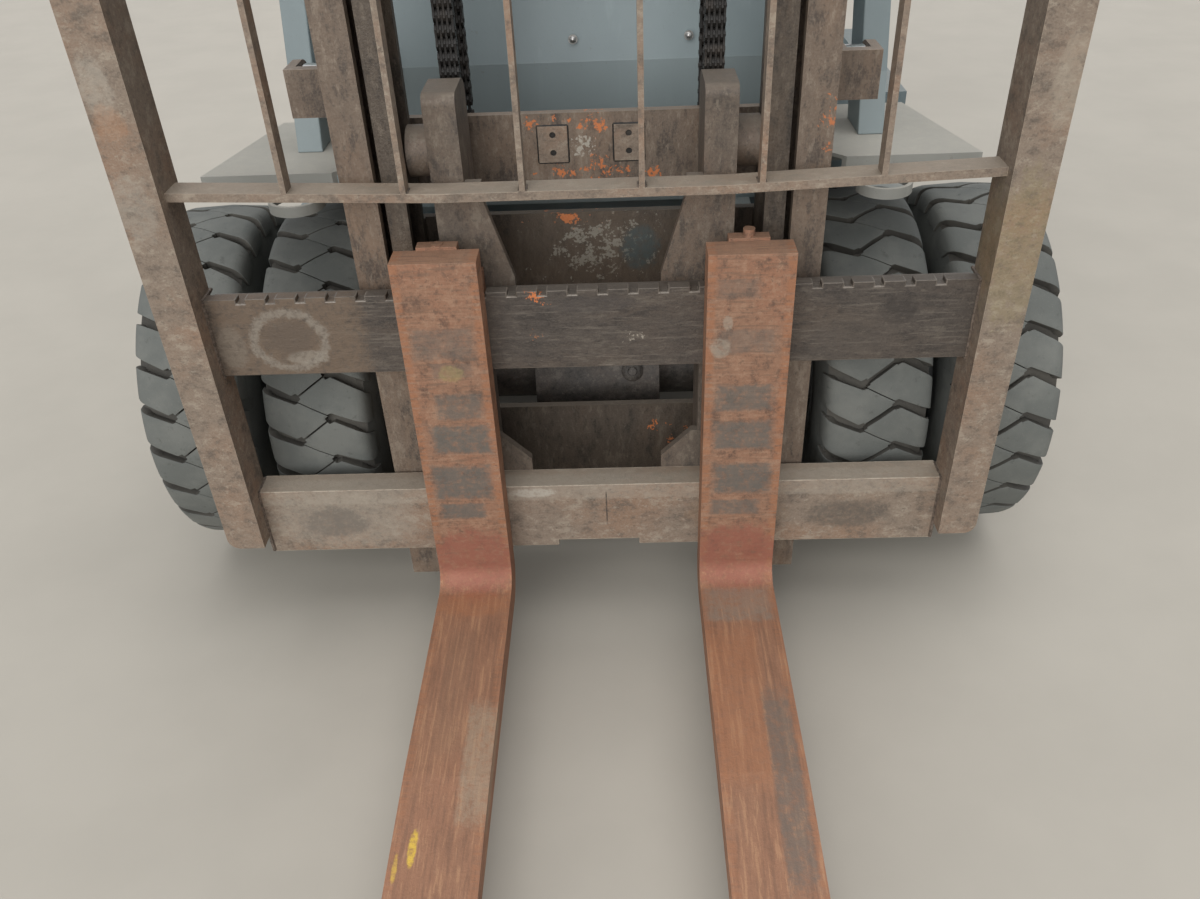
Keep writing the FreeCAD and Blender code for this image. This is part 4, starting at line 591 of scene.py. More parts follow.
def ease_edges(thing, width, finish=None):
    """Round the hard edges of a piece by a bevel of this width, with a finish of its own."""
    weld = thing.modifiers.new("join corners", "WELD")
    weld.merge_threshold = 0.00002
    bevel = thing.modifiers.new("ease edges", "BEVEL")
    bevel.width = width
    bevel.segments = 2
    bevel.limit_method = "ANGLE"
    bevel.angle_limit = math.radians(38)
    if finish:
        thing.data.materials.append(finish.material)
        bevel.material = 1
    smooth = thing.modifiers.new("even shading", "WEIGHTED_NORMAL")
    smooth.keep_sharp = True


for name, thing in NODES.items():
    slot = SLOT_OF[name]
    thing.data.materials.clear()
    thing.data.materials.append(NODE_FINISH.get(name, SLOT_FINISH[slot]).material)
    if slot in EDGE_WIDTH:
        ease_edges(thing, EDGE_WIDTH[slot], None if name in NODE_FINISH else EDGE_FINISH.get(slot))
print("Dressed", len(NODES), "solids")

# %% [markdown]
# ## Small makers of meshes
#
# Bolts, pins and lamps are turned shapes, links and pads are flat outlines with a thickness, and
# welds are lumpy tubes. Each maker returns points and faces, and `piece` puts them in the scene on
# the body that carries them. Copies are made by multiplying the points with each place's matrix and
# joining the result, so that a hundred bolts are one piece.

# %% Makers
def piece(name, shape, finish, body, soft_angle=35.0, second=None, picked=()):
    """Put a mesh in the scene, riding on a body. The picked faces get the second finish."""
    points, faces = shape
    mesh = bpy.data.meshes.new(name)
    mesh.from_pydata([tuple(point) for point in points], [], [tuple(face) for face in faces])
    mesh.polygons.foreach_set("use_smooth", [True] * len(mesh.polygons))
    mesh.set_sharp_from_angle(angle=math.radians(soft_angle))
    mesh.materials.append(finish.material)
    if second:
        mesh.materials.append(second.material)
        mesh.polygons.foreach_set("material_index", [int(pick) for pick in picked])
    made = bpy.data.objects.new(name, mesh)
    bpy.context.scene.collection.objects.link(made)
    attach(made, body)
    return made


def turns(count, start=0.0):
    """The angles of this many even steps round a circle."""
    return [2 * math.pi * (step + start) / count for step in range(count)]


def next_ring(points, count):
    """The indices that the next points of a list will have."""
    return list(range(len(points), len(points) + count))


def band(lower, upper):
    """The faces between two closed rings of points."""
    after = lower[1:] + lower[:1], upper[1:] + upper[:1]
    return list(zip(lower, after[0], after[1], upper))


def middle_of(node):
    """The middle of a solid's box."""
    low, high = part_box(node)
    return (low + high) / 2


def joined(*shapes):
    """Several shapes as one."""
    points, faces = [], []
    for some_points, some_faces in shapes:
        start = len(points)
        points.extend(tuple(point) for point in some_points)
        faces.extend(tuple(start + corner for corner in face) for face in some_faces)
    return points, faces


def copies(shape, places):
    """A copy of a shape at each matrix."""
    points, faces = shape
    flat = np.array([tuple(point) for point in points], float)
    made = []
    for place in places:
        matrix = np.array(place, float)
        made.append((flat @ matrix[:3, :3].T + matrix[:3, 3], faces))
    return joined(*made)


def lathe(profile, sides=24):
    """A turned shape about Z from (radius, height) pairs. A radius of 0 at an end closes it."""
    points, faces, rings = [], [], []
    for radius, height in profile:
        if radius == 0:
            rings.append([len(points)] * sides)
            points.append((0, 0, height))
            continue
        rings.append(next_ring(points, sides))
        points += [(radius * math.cos(angle), radius * math.sin(angle), height) for angle in turns(sides)]
    for lower, upper in zip(rings, rings[1:]):
        faces += [tuple(dict.fromkeys(corners)) for corners in band(lower, upper)]
    return points, faces


def slab(low, high, ease=0.002):
    """A box with eased edges, from its low and high corners."""
    maker = bmesh.new()
    bmesh.ops.create_cube(maker, size=1)
    low, high = Vector(low), Vector(high)
    for corner in maker.verts:
        corner.co = Vector((low[i] + (corner.co[i] + 0.5) * (high[i] - low[i]) for i in range(3)))
    bmesh.ops.bevel(maker, geom=maker.edges[:], offset=ease, segments=2, profile=0.7, affect="EDGES")
    maker.verts.index_update()
    shape = [tuple(v.co) for v in maker.verts], [tuple(v.index for v in f.verts) for f in maker.faces]
    maker.free()
    return shape


def cut_plate(outline, holes, thick, ease=0.001):
    """A flat plate on z = 0 with round holes, each an x, a y and a radius, from a filled 2-D curve."""
    curve = bpy.data.curves.new("plate outline", "CURVE")
    curve.dimensions = "2D"
    curve.fill_mode = "BOTH"
    curve.extrude = thick / 2 - ease
    curve.bevel_depth = ease
    curve.offset = -ease
    loops = [list(outline)]
    loops += [[(x + radius * math.cos(turn), y + radius * math.sin(turn)) for turn in turns(18)]
              for x, y, radius in holes]
    for loop in loops:
        spline = curve.splines.new("POLY")
        spline.points.add(len(loop) - 1)
        for point, (x, y) in zip(spline.points, loop):
            point.co = (x, y, 0, 1)
        spline.use_cyclic_u = True
    maker = bpy.data.objects.new("plate maker", curve)
    mesh = bpy.data.meshes.new_from_object(maker)
    points = [(v.co.x, v.co.y, v.co.z + thick / 2) for v in mesh.vertices]
    faces = [tuple(f.vertices) for f in mesh.polygons]
    bpy.data.objects.remove(maker)
    bpy.data.curves.remove(curve)
    bpy.data.meshes.remove(mesh)
    return points, faces


def hoop(radius, tube, sides=64, around=12):
    """A ring about Z."""
    profile = [(radius + tube * math.cos(turn), tube * math.sin(turn)) for turn in turns(around)]
    points, faces = [], []
    for turn in turns(sides):
        points += [(r * math.cos(turn), r * math.sin(turn), z) for r, z in profile]
    for side in range(sides):
        here, after = side * around, (side + 1) % sides * around
        for step in range(around):
            nearby = (step + 1) % around
            faces.append((here + step, after + step, after + nearby, here + nearby))
    return points, faces


def along(place, direction, roll=0.0):
    """A matrix that puts a shape made about Z at a place, pointing along a direction."""
    turn = Vector(direction).to_track_quat("Z", "Y").to_matrix().to_4x4()
    return Matrix.Translation(Vector(place)) @ turn @ Matrix.Rotation(roll, 4, "Z")


def hex_bolt(across, tall):
    """A hexagon head on its washer, standing on z = 0."""
    radius = across / math.sqrt(3)
    head = lathe([(radius, 0.002), (radius, tall - 0.002), (radius * 0.90, tall), (0, tall)], 6)
    disc = lathe([(radius * 1.25, 0), (radius * 1.25, 0.002), (radius * 1.15, 0.0028), (0, 0.0028)], 20)
    return joined(head, disc)


def weld_bead(path, radius, seed):
    """A lumpy bead of weld along a path of points."""
    dice = random.Random(seed)
    path = [Vector(point) for point in path]
    rings, points, faces = [], [], []
    sides = 7
    for start, end in zip(path, path[1:]):
        run = end - start
        steps = max(2, int(run.length / (radius * 1.1)))
        across = run.orthogonal().normalized()
        other = run.normalized().cross(across)
        for step in range(steps + 1):
            thick = radius * (0.85 + 0.3 * dice.random())
            middle = start + run * (step / steps)
            rings.append(next_ring(points, sides))
            points += [middle + thick * (math.cos(angle) * across + math.sin(angle) * other)
                       for angle in turns(sides)]
    for lower, upper in zip(rings, rings[1:]):
        faces += band(lower, upper)
    faces.append(tuple(reversed(rings[0])))
    faces.append(tuple(rings[-1]))
    return points, faces


print("Makers are ready")

# %% [markdown]
# ## Tyres
#
# Each tyre has 26 pitches of tread. A groove runs in from each shoulder, hooks back at the middle and
# meets the groove of the other shoulder in a thin line, like a flattened Z, and a knife cut joins each
# Z to the next. A pattern like that is hard to carve but easy to draw flat. One block is drawn as an
# outline on a strip, as long as one pitch. Its edges are eased there, and it is cut across so that it
# can bend. Then every point is wrapped round the tyre: the first coordinate follows the section from
# crown to sidewall, the second goes round, and the third goes in. The blocks of the other shoulder
# are the same ones turned by half a turn. Floors and walls of the grooves get the darker rubber,
# which paints both the dirt in them and the shade that falls into them.

# %% One tyre
PITCHES = 26
TYRE_HALF = 0.1225
tyre_low, tyre_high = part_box("drive_tyre_left_outer")
TREAD_RADIUS = (tyre_high.z - tyre_low.z) / 2
PITCH = 2 * math.pi * TREAD_RADIUS / PITCHES
GROOVE_DEEP = 0.017
CROWN_END = 0.088
SHOULDER_ROUND = 0.030
SECTION = [(0.0, TREAD_RADIUS - 0.0004), (CROWN_END, TREAD_RADIUS - 0.005)]
for step in range(1, 6):
    bend = math.radians(15 + 60 * step / 5)
    SECTION.append((CROWN_END + SHOULDER_ROUND * math.sin(bend) * 0.95,
                    TREAD_RADIUS - 0.005 - SHOULDER_ROUND * (1 - math.cos(bend))))
SECTION += [(TYRE_HALF, TREAD_RADIUS - 0.065), (TYRE_HALF - 0.001, TREAD_RADIUS - 0.100)]
SECTION = np.array(SECTION)
RUN = np.concatenate([[0], np.cumsum(np.hypot(*np.diff(SECTION, axis=0).T))])
# The middle of the right arm of one Z, from its peak to the sidewall, and its half width there
ARM = ((0.041, -0.030, 0.0080), (0.086, -0.010, 0.0104), (0.123, 0.006, 0.0130), (0.150, 0.012, 0.0150))
ARM_WIDER = 1.08
HOOK_LONG = 0.0150
# Corners of a block beside the hooks of the Z below it, and of the one above it
LOWER_CORNER = (0.0448, -0.0196)
UPPER_CORNERS = [(-0.0320, 0.0334), (0.0305, PITCH - 0.0362), (0.0390, PITCH - 0.0396)]
CORNER_EASE = 0.0016
RIM_EASE = 0.0014
# Below this depth a face counts as part of a groove. Under a groove lies the floor, and the block's root in it
GROOVE_FROM = 0.004
FLOOR_DEEP = GROOVE_DEEP + 0.004
ROOT_DEEP = GROOVE_DEEP + 0.006
# The planes that cut a block so that it can bend, first across the section and then round the tyre
BENDS = [((out, 0, 0), (1, 0, 0)) for out in (0.0, 0.03, 0.06, 0.088, 0.096, 0.104, 0.112, 0.120, 0.135)]
BENDS += [((0, PITCH * share, 0), (0, 1, 0)) for share in (-0.2, 0.0, 0.2, 0.4, 0.6, 0.8, 1.0)]


def wrap(points):
    """Points of the flat strip (along the section, round, depth) on the tyre about the X axis."""
    points = np.array(points, float)
    out, round_way, deep = points.T
    side = np.sign(out)
    out = np.abs(out)
    x = np.interp(out, RUN, SECTION[:, 0])
    radius = np.interp(out, RUN, SECTION[:, 1])
    step = 0.002
    slope_x = np.interp(out + step, RUN, SECTION[:, 0]) - np.interp(out - step, RUN, SECTION[:, 0])
    slope_r = np.interp(out + step, RUN, SECTION[:, 1]) - np.interp(out - step, RUN, SECTION[:, 1])
    size = np.hypot(slope_x, slope_r) + 1e-9
    x = (x + deep * slope_r / size) * np.where(side == 0, 1, side)
    radius = radius - deep * np.abs(slope_x) / size
    angle = round_way / TREAD_RADIUS
    return np.stack([x, radius * np.cos(angle), radius * np.sin(angle)], 1)


def block_outline(thin):
    """One right-hand block. The middle leg of its Z is thin, by this half width, between its hooks."""
    peak = Vector((ARM[0][0], ARM[0][1]))
    elbow = -peak
    leg = (elbow - peak).normalized()
    down = Vector((leg.y, -leg.x))
    below = [(out, way + half * ARM_WIDER) for out, way, half in ARM]
    above = [(out, way + PITCH - half * ARM_WIDER) for out, way, half in ARM]
    half = ARM[0][2]
    outline = list(reversed(below[1:]))
    outline.append(LOWER_CORNER)
    for place, wide in ((peak + leg * HOOK_LONG, half), (peak + leg * HOOK_LONG, thin),
                        (elbow - leg * HOOK_LONG, thin), (elbow - leg * HOOK_LONG, half)):
        spot = place + down * wide
        outline.append((spot.x, spot.y))
    return outline + UPPER_CORNERS + above[1:]


def tread_block(thin):
    """One block in strip coordinates, with a flag for each face that lies in a groove."""
    maker = bmesh.new()
    top = maker.faces.new([maker.verts.new((out, way, 0)) for out, way in block_outline(thin)])
    made = bmesh.ops.extrude_face_region(maker, geom=[top])
    for item in made["geom"]:
        if isinstance(item, bmesh.types.BMVert):
            item.co.z = ROOT_DEEP
    maker.faces.remove(next(face for face in maker.faces if all(v.co.z > GROOVE_DEEP for v in face.verts)))
    posts = [edge for edge in maker.edges if len({v.co.z for v in edge.verts}) == 2]
    bmesh.ops.bevel(maker, geom=posts, offset=CORNER_EASE, segments=2, profile=0.5, affect="EDGES")
    rim = [edge for edge in maker.edges if all(abs(v.co.z) < 1e-7 for v in edge.verts)
           and len(edge.link_faces) == 2 and any(abs(f.normal.z) < 0.5 for f in edge.link_faces)]
    bmesh.ops.bevel(maker, geom=rim, offset=RIM_EASE, segments=2, profile=0.6, affect="EDGES")
    for place, facing in BENDS:
        bmesh.ops.bisect_plane(maker, geom=maker.verts[:] + maker.edges[:] + maker.faces[:],
                               plane_co=place, plane_no=facing)
    maker.verts.index_update()
    shape = [tuple(v.co) for v in maker.verts], [tuple(v.index for v in f.verts) for f in maker.faces]
    deep = [max(v.co.z for v in f.verts) > GROOVE_FROM for f in maker.faces]
    maker.free()
    return shape, deep


def spun(profile, steps):
    """A closed ring about X from (x, radius) pairs."""
    points, faces, rings = [], [], []
    for angle in turns(steps):
        rings.append(next_ring(points, len(profile)))
        points += [(x, radius * math.cos(angle), radius * math.sin(angle)) for x, radius in profile]
    for here, after in zip(rings, rings[1:] + rings[:1]):
        faces += band(here, after)
    return points, faces


# The sidewall from the shoulder to the bead: how far in from the widest place, and how far down
SIDEWALL = ((0.014, 0.034), (0.006, 0.062), (0.002, 0.090), (0, 0.118), (0, 0.136), (0.002, 0.140),
            (0.003, 0.160), (0.010, 0.185), (0.018, 0.205), (0.016, 0.212), (0.022, 0.226))


def tyre_shape(thin):
    """A whole tyre about the X axis, and a flag for each face that lies in a groove."""
    (block_points, block_faces), deep = tread_block(thin)
    block_points = np.array(block_points)
    strips, picked = [], []
    for turn in range(PITCHES):
        for half_turn in (1, -1):
            placed = block_points * (half_turn, half_turn, 1) + (0, turn * PITCH, 0)
            strips.append((wrap(placed), block_faces))
            picked += deep
    floor = [(x, TREAD_RADIUS - FLOOR_DEEP - 0.006 * (abs(x) / 0.09) ** 2)
             for x in np.linspace(-0.092, 0.092, 7)]
    wall = [(TYRE_HALF - inward, TREAD_RADIUS - down) for inward, down in SIDEWALL]
    ring = floor + wall + [(-x, radius) for x, radius in reversed(wall)]
    carcass = spun(ring, PITCHES * 4)
    low_band = TREAD_RADIUS - 0.060
    for face in carcass[1]:
        radii = [math.hypot(*carcass[0][corner][1:]) for corner in face]
        picked.append(min(radii) > low_band)
    return joined(*strips, carcass), picked


def dress_tyre(node, body, shape, turn):
    """A treaded tyre where the plain one is, turned by a share of a pitch."""
    spin = Matrix.Translation(middle_of(node)) @ Matrix.Rotation(turn * 2 * math.pi / PITCHES, 4, "X")
    faces, picked = shape
    made = piece(node + "_tread", copies(faces, [spin]), tyre_rubber, body, 32,
                 second=groove_dirt_and_shade, picked=picked)
    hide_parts(node)


# How thin the knife cuts are, and by what share of a pitch each tyre has rolled on
TYRES = {"left": tyre_shape(0.0018), "right": tyre_shape(0.0050)}
DRIVE_TURNS = {"inner": 0.20, "outer": 0.57}
STEER_TURN = 0.6
for side in TYRES:
    for ring, turn in DRIVE_TURNS.items():
        dress_tyre("drive_tyre_%s_%s" % (side, ring), "drive_wheel_" + side, TYRES[side], turn)
    dress_tyre("steer_tyre_" + side, "steer_wheel_" + side, TYRES[side], STEER_TURN)
print("A tyre has", len(TYRES["left"][0][1]), "faces")

# %% [markdown]
# ## Leaf chains
#
# The lift chains are packs of thin plates on pins. In the model they are plain bars, and the front
# run lengthens as the mast goes up. The links made here don't follow it: both straight runs are
# baked in place and ride on no body.

# %% Chains
LINK = 0.0254
CHAIN_X = 0.248
CHAIN_WIDE = 0.038
CHAIN_DEEP = 0.026
CHAIN_PLATES = 8
# How far the first link stands above the run's end, and what both ends leave free
RUN_START = 0.013
RUN_FREE = 0.03
SHEAVE = Vector((0, -0.777, 2.672))


def link_plate(x, thick):
    """A figure-of-eight plate between two pins, the lower one at the origin and the upper one a link up."""
    outline = []
    end, waist = CHAIN_DEEP / 2 - 0.0004, CHAIN_DEEP * 0.36
    for step in range(7):
        angle = math.pi * (1.06 + 0.88 * step / 6)
        outline.append((end * math.cos(angle), end * math.sin(angle)))
    outline.append((waist, LINK / 2))
    for step in range(7):
        angle = math.pi * (0.06 + 0.88 * step / 6)
        outline.append((end * math.cos(angle), LINK + end * math.sin(angle)))
    outline.append((-waist, LINK / 2))
    count = len(outline)
    points = [(x - thick / 2, y, z) for y, z in outline] + [(x + thick / 2, y, z) for y, z in outline]
    faces = [tuple(range(count)), tuple(reversed(range(count, 2 * count)))]
    faces += [(index, index + count, (index + 1) % count + count, (index + 1) % count)
              for index in range(count)]
    return points, faces


def link_pack(odd):
    """The plates of one link and the pin at its lower end."""
    pitch = CHAIN_WIDE / CHAIN_PLATES
    plates = [link_plate(-CHAIN_WIDE / 2 + (index + 0.5) * pitch, pitch * 0.86)
              for index in range(CHAIN_PLATES) if index % 2 == odd]
    half, thick = CHAIN_WIDE / 2 + 0.0012, 0.0044
    pin = lathe([(0, -half), (thick, -half), (thick, half), (0, half)], 8)
    return joined(*plates, copies(pin, [Matrix.Rotation(math.pi / 2, 4, "Y")]))


PACKS = [link_pack(0), link_pack(1)]


def chain_run(y, low, high):
    """Both straight runs at this depth, as links from low to high."""
    count = int((high - low) / LINK)
    links = []
    for side in (-1, 1):
        for step in range(count):
            z = low + RUN_START + step * (high - low - RUN_FREE) / count
            links.append(copies(PACKS[step % 2], [Matrix.Translation((side * CHAIN_X, y, z))]))
    return joined(*links)


def chain_wrap(radius, count):
    """The links that lie over the sheaves."""
    links = []
    for side in (-1, 1):
        for step in range(count):
            angle = math.pi * step / count
            place = Matrix.Translation((side * CHAIN_X, SHEAVE.y, SHEAVE.z)) @ Matrix.Rotation(-angle, 4, "X")
            links.append(copies(PACKS[step % 2], [place @ Matrix.Translation((0, -radius, 0))]))
    return joined(*links)


front_low, front_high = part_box("front_chains")
rear_low, rear_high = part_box("rear_chains")
front_run = piece("front_chain_links",
                  chain_run((front_low.y + front_high.y) / 2, front_low.z, front_high.z),
                  grease, "mast_inner")
front_run.parent = None
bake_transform(front_run)
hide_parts("front_chains")
rear_run = piece("rear_chain_links", chain_run((rear_low.y + rear_high.y) / 2, rear_low.z, rear_high.z),
                 grease, "mast_outer")
rear_run.parent = None
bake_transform(rear_run)
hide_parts("rear_chains")
piece("chain_links_over", chain_wrap(0.0560, 8), grease, "mast_inner")
print("Chain faces:", len(front_run.data.polygons) + len(rear_run.data.polygons))

# %% [markdown]
# ## Bolts, pads and brackets
#
# What follows are the small fixed things of the photograph: the domed bolts of the cowl, the two
# drilled pads of the mast's crossmember, and a tab and a boss on the axle housing.

# %% Fasteners
DOME_BOLT = joined(lathe([(0.0105, 0), (0.0105, 0.0016), (0, 0.0016)], 20),
                   lathe([(0.0078, 0.0012), (0.0075, 0.0045), (0.0052, 0.0078), (0.0024, 0.0092),
                          (0, 0.0095)], 20))
COWL_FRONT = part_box("cowl")[0].y
cowl_bolts = [along((x, COWL_FRONT - 0.0002, z), (0, -1, 0))
              for z in (1.180, 1.320) for x in (-0.289, -0.031, 0.227)]
piece("cowl_bolts", copies(DOME_BOLT, cowl_bolts), bare_steel, "chassis")

# Two drilled pads stand on the upper crossmember. The photograph doesn't show what they hold.
PADS_X = (-0.0655, 0.0865)
PADS_Z = 1.0665
PAD_HOLES_Z = (0.019, -0.017)


def oblong(half_wide, half_tall):
    """The four corners of a rectangle about the origin."""
    return [(-half_wide, -half_tall), (half_wide, -half_tall), (half_wide, half_tall), (-half_wide, half_tall)]


pad = cut_plate(oblong(0.0295, 0.0365), [(0.0, z, 0.0062) for z in PAD_HOLES_Z], 0.004, 0.0008)
pad_places = [along((x, CROSS_FRONT, PADS_Z), (0, -1, 0)) for x in PADS_X]
pad_rim = oblong(0.030, 0.037)
# Painted shade: a near-black disc lies at the bottom of each pad's hole
hole_shade_disc = lathe([(0, 0.0003), (0.0075, 0.0003), (0.0075, 0.0008), (0, 0.0008)], 16)
pad_welds_and_shade = []
for seed, x in enumerate(PADS_X):
    round_pad = [(x + across, CROSS_FRONT, PADS_Z + rise) for across, rise in pad_rim + pad_rim[:1]]
    floors = [along((x, CROSS_FRONT, PADS_Z + z), (0, -1, 0)) for z in PAD_HOLES_Z]
    pad_welds_and_shade += [weld_bead(round_pad, 0.0026, 40 + seed), copies(hole_shade_disc, floors)]
piece("mast_pads", copies(pad, pad_places), taupe, "mast_outer")
# The bead round each pad is a weld. Its near-black finish is also painted shadow that sets the pad off from
# the crossmember
piece("mast_pad_welds_and_shade", joined(*pad_welds_and_shade), grease, "mast_outer")

# A drilled tab and a rusty boss show on the axle housing between the bars.
tab = cut_plate(oblong(0.024, 0.017), [(0, 0, 0.005)], 0.006)
HOUSING_MIDDLE = Vector((0, -0.550, 0.418))
HOUSING_RADIUS = 0.165
HOUSING_SINK = 0.001


def on_housing(x, side):
    """The place on the round axle housing at x, on the side that this direction points to."""
    facing = Vector(side).normalized()
    return along(HOUSING_MIDDLE + facing * (HOUSING_RADIUS - HOUSING_SINK) + Vector((x, 0, 0)), facing)


boss = lathe([(0.026, -0.010), (0.026, 0.004), (0.022, 0.008), (0.012, 0.010), (0.010, 0.016), (0, 0.017)], 20)
axle_bits = joined(copies(tab, [on_housing(-0.022, (0, -0.786, 0.618))]),
                   copies(boss, [on_housing(0.085, (0, -0.932, 0.364))]))
piece("axle_tab", axle_bits, oily_cast, "chassis")
print("Pads stand", round(CROSS_FRONT * -1000), "mm in front of the middle")

# %% [markdown]
# ## Wheels
#
# The rims are pressed discs. Ten nuts on studs hold each of them, a ring of smaller bolts closes the
# hub's cover and a valve stem reaches out through the disc. How many nuts there are is a guess.

# %% Nuts, hub covers and valves
NUT = lathe([(0.0165, 0), (0.0165, 0.013), (0.0135, 0.017), (0, 0.017)], 6)
STUD = lathe([(0.0085, 0.012), (0.0085, 0.027), (0.0070, 0.029), (0, 0.029)], 12)
VALVE = lathe([(0.006, 0), (0.006, 0.050), (0.0045, 0.052), (0.0045, 0.062), (0, 0.062)], 12)
HUB_PLUG = lathe([(0.040, 0), (0.040, 0.006), (0.034, 0.012), (0.016, 0.014), (0.016, 0.020), (0, 0.020)], 24)
HUB_FACE = 0.910
WHEEL_NUTS = 10
COVER_BOLTS = 8
# For each kind of wheel: how far out its disc lies, the circle of its nuts and that of its hub's bolts
WHEEL_KINDS = {"drive": (0.776, 0.145, 0.088), "steer": (0.814, 0.132, 0.056)}


def bolt_circle(shape, sign, out, middle, radius, count, start=0.0):
    """Copies of a shape round a wheel's middle, each standing outwards on the face at this distance."""
    places = [along((sign * out, middle.y + radius * math.cos(turn), middle.z + radius * math.sin(turn)),
                    (sign, 0, 0), turn) for turn in turns(count, start)]
    return copies(shape, places)


for side, sign in (("left", -1), ("right", 1)):
    for kind, (disc, nut_circle, cover_circle) in WHEEL_KINDS.items():
        node = "%s_rim_%s" % (kind, side)
        middle = middle_of(node)
        outward = (sign, 0, 0)
        bits = joined(
            bolt_circle(joined(NUT, STUD), sign, disc, middle, nut_circle, WHEEL_NUTS),
            bolt_circle(hex_bolt(0.015, 0.009), sign, HUB_FACE, middle, cover_circle, COVER_BOLTS, 0.5),
            copies(HUB_PLUG, [along((sign * HUB_FACE, middle.y, middle.z), outward)]),
            copies(VALVE, [along((sign * disc, middle.y + 0.155, middle.z + 0.075), outward)]))
        piece(node + "_nuts", bits, bare_steel, "%s_wheel_%s" % (kind, side))
print("Dressed", 2 * len(WHEEL_KINDS), "rims")

# %% [markdown]
# ## Welds and bolts of the frame
#
# The load guard was made from flat bar and welded to its posts by hand. Its beads are thin lumpy
# tubes along the joints. The overhead guard is bolted, with heads that show outside its legs.

# %% Welds and bolts
POST_IN = 0.740
bar_welds = []
WELD_FRONT = FORK_FACE - 0.001
for sign in (-1, 1):
    x = sign * POST_IN
    for seed, height in enumerate((BAR_HIGH.z, BAR_LOW.z, LOW_BAR_HIGH.z)):
        ends = [(x, WELD_FRONT, height - 0.002), (x, FORK_FACE + 0.055, height - 0.002)]
        bar_welds.append(weld_bead(ends, 0.0042, seed))
    for seed, low, high in ((7, BAR_LOW.z, BAR_HIGH.z), (9, LOW_BAR_LOW.z, LOW_BAR_HIGH.z)):
        ends = [(x, WELD_FRONT, low + 0.004), (x, WELD_FRONT, high - 0.004)]
        bar_welds.append(weld_bead(ends, 0.0040, seed))
GUARD_BARS = 6
RAIL_TOP = 1.0815
rail_y = SHANK_FRONT + 0.040
for index in range(GUARD_BARS):
    x = (2 * (index + 1) / (GUARD_BARS + 1) - 1) * POST_IN
    for side in (-1, 1):
        ends = [(x + side * 0.006, rail_y + deep, RAIL_TOP) for deep in (0.004, 0.030)]
        bar_welds.append(weld_bead(ends, 0.0030, 20 + index))
piece("guard_welds", joined(*bar_welds), weld_metal, "carriage")

roof_low, roof_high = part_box("guard_roof")
bolts_y = (roof_low.y + 0.030, roof_low.y + 0.075, roof_high.y - 0.075, roof_high.y - 0.030)
roof_bolts = [along((sign * (roof_high.x - 0.027), y, roof_low.z), (0, 0, -1))
              for sign in (-1, 1) for y in bolts_y]
piece("guard_bolts", copies(hex_bolt(0.019, 0.009), roof_bolts), bare_steel, "chassis")
print("Welds:", len(bar_welds), "and roof bolts:", len(roof_bolts))

# %% [markdown]
# ## Lamps
#
# A lamp is a pot, a bezel and a ribbed lens. The photograph shows no lamp, so these follow what such
# trucks have.

# %% Lamps
def lamp_front(radius, dome):
    """A bezel, and a lens with moulded ribs, facing +Z."""
    section = ((0.001, -0.014), (0.004, -0.006), (0.003, 0.003), (-0.004, 0.006), (-0.007, 0.002))
    bezel = lathe([(radius + out, height) for out, height in section], 40)
    glass = []
    for step in range(9):
        share = 1 - step / 8
        lift = dome * (1 - share ** 2) + 0.0012 * (step % 2)
        glass.append(((radius - 0.006) * share, 0.001 + lift))
    return bezel, lathe(glass, 40)


LAMP_X = 0.6095
for node, radius, dome, facing, glass_finish, slot in (
        ("head_lamps", 0.062, 0.010, -1, lens_clear, "lamp_glass"),
        ("rear_lamps", 0.045, 0.008, 1, lens_red, "lamp_red")):
    low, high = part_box(node)
    face = low.y if facing < 0 else high.y
    bezel, glass = lamp_front(radius, dome)
    places = [along((side * LAMP_X, face, high.z - radius), (0, facing, 0)) for side in (-1, 1)]
    piece(node + "_bezels", copies(bezel, places), black_plastic, "chassis")
    piece(node + "_glass", copies(glass, places), glass_finish, "chassis")

# %% [markdown]
# ## The driver's controls
#
# The levers end in balls, the pedals have rubber treads, and the wheel's rim is a round grip that is
# thicker than the steel inside it. All of it is behind the cowl, so it follows what such trucks have.

# %% Levers, pedals and the wheel's grip
LEVERS_X = (0.180, 0.250, 0.320)
LEVERS_Y = -0.222
lever_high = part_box("control_levers")[1]
knob = lathe([(0.008, -0.030), (0.009, -0.020), (0.0145, -0.010), (0.0160, 0.0), (0.0135, 0.009),
              (0.0075, 0.0135), (0, 0.015)], 24)
gaiter = lathe([(0.024, 0), (0.024, 0.006), (0.019, 0.012), (0.021, 0.018), (0.015, 0.024), (0.017, 0.030),
                (0.010, 0.036)], 24)


def on_levers(shape, down):
    """A copy of a shape on each lever, this far below the levers' tops."""
    return copies(shape, [Matrix.Translation((x, LEVERS_Y, lever_high.z - down)) for x in LEVERS_X])


piece("lever_knobs", joined(on_levers(knob, 0.014), on_levers(gaiter, 0.140)), black_plastic, "chassis")

# The pedals' places along X and their widths
PEDALS = ((-0.285, 0.090), (-0.145, 0.090), (0.155, 0.070))
PEDAL_ROWS = 7
ROW_APART = 0.016
treads = []
for x, wide in PEDALS:
    face = along((x, -0.1255, 0.8835), (0, 0.823, 0.570))
    sheet_half, rib_half = wide / 2 - 0.002, wide / 2 - 0.008
    sheets = [slab((-sheet_half, -0.058, 0), (sheet_half, 0.058, 0.004), 0.001)]
    for row in range(PEDAL_ROWS):
        y = -0.048 + row * ROW_APART
        sheets.append(slab((-rib_half, y - 0.004, 0.003), (rib_half, y + 0.004, 0.0065), 0.001))
    treads.append(copies(joined(*sheets), [face]))
piece("pedal_treads", joined(*treads), black_plastic, "chassis")

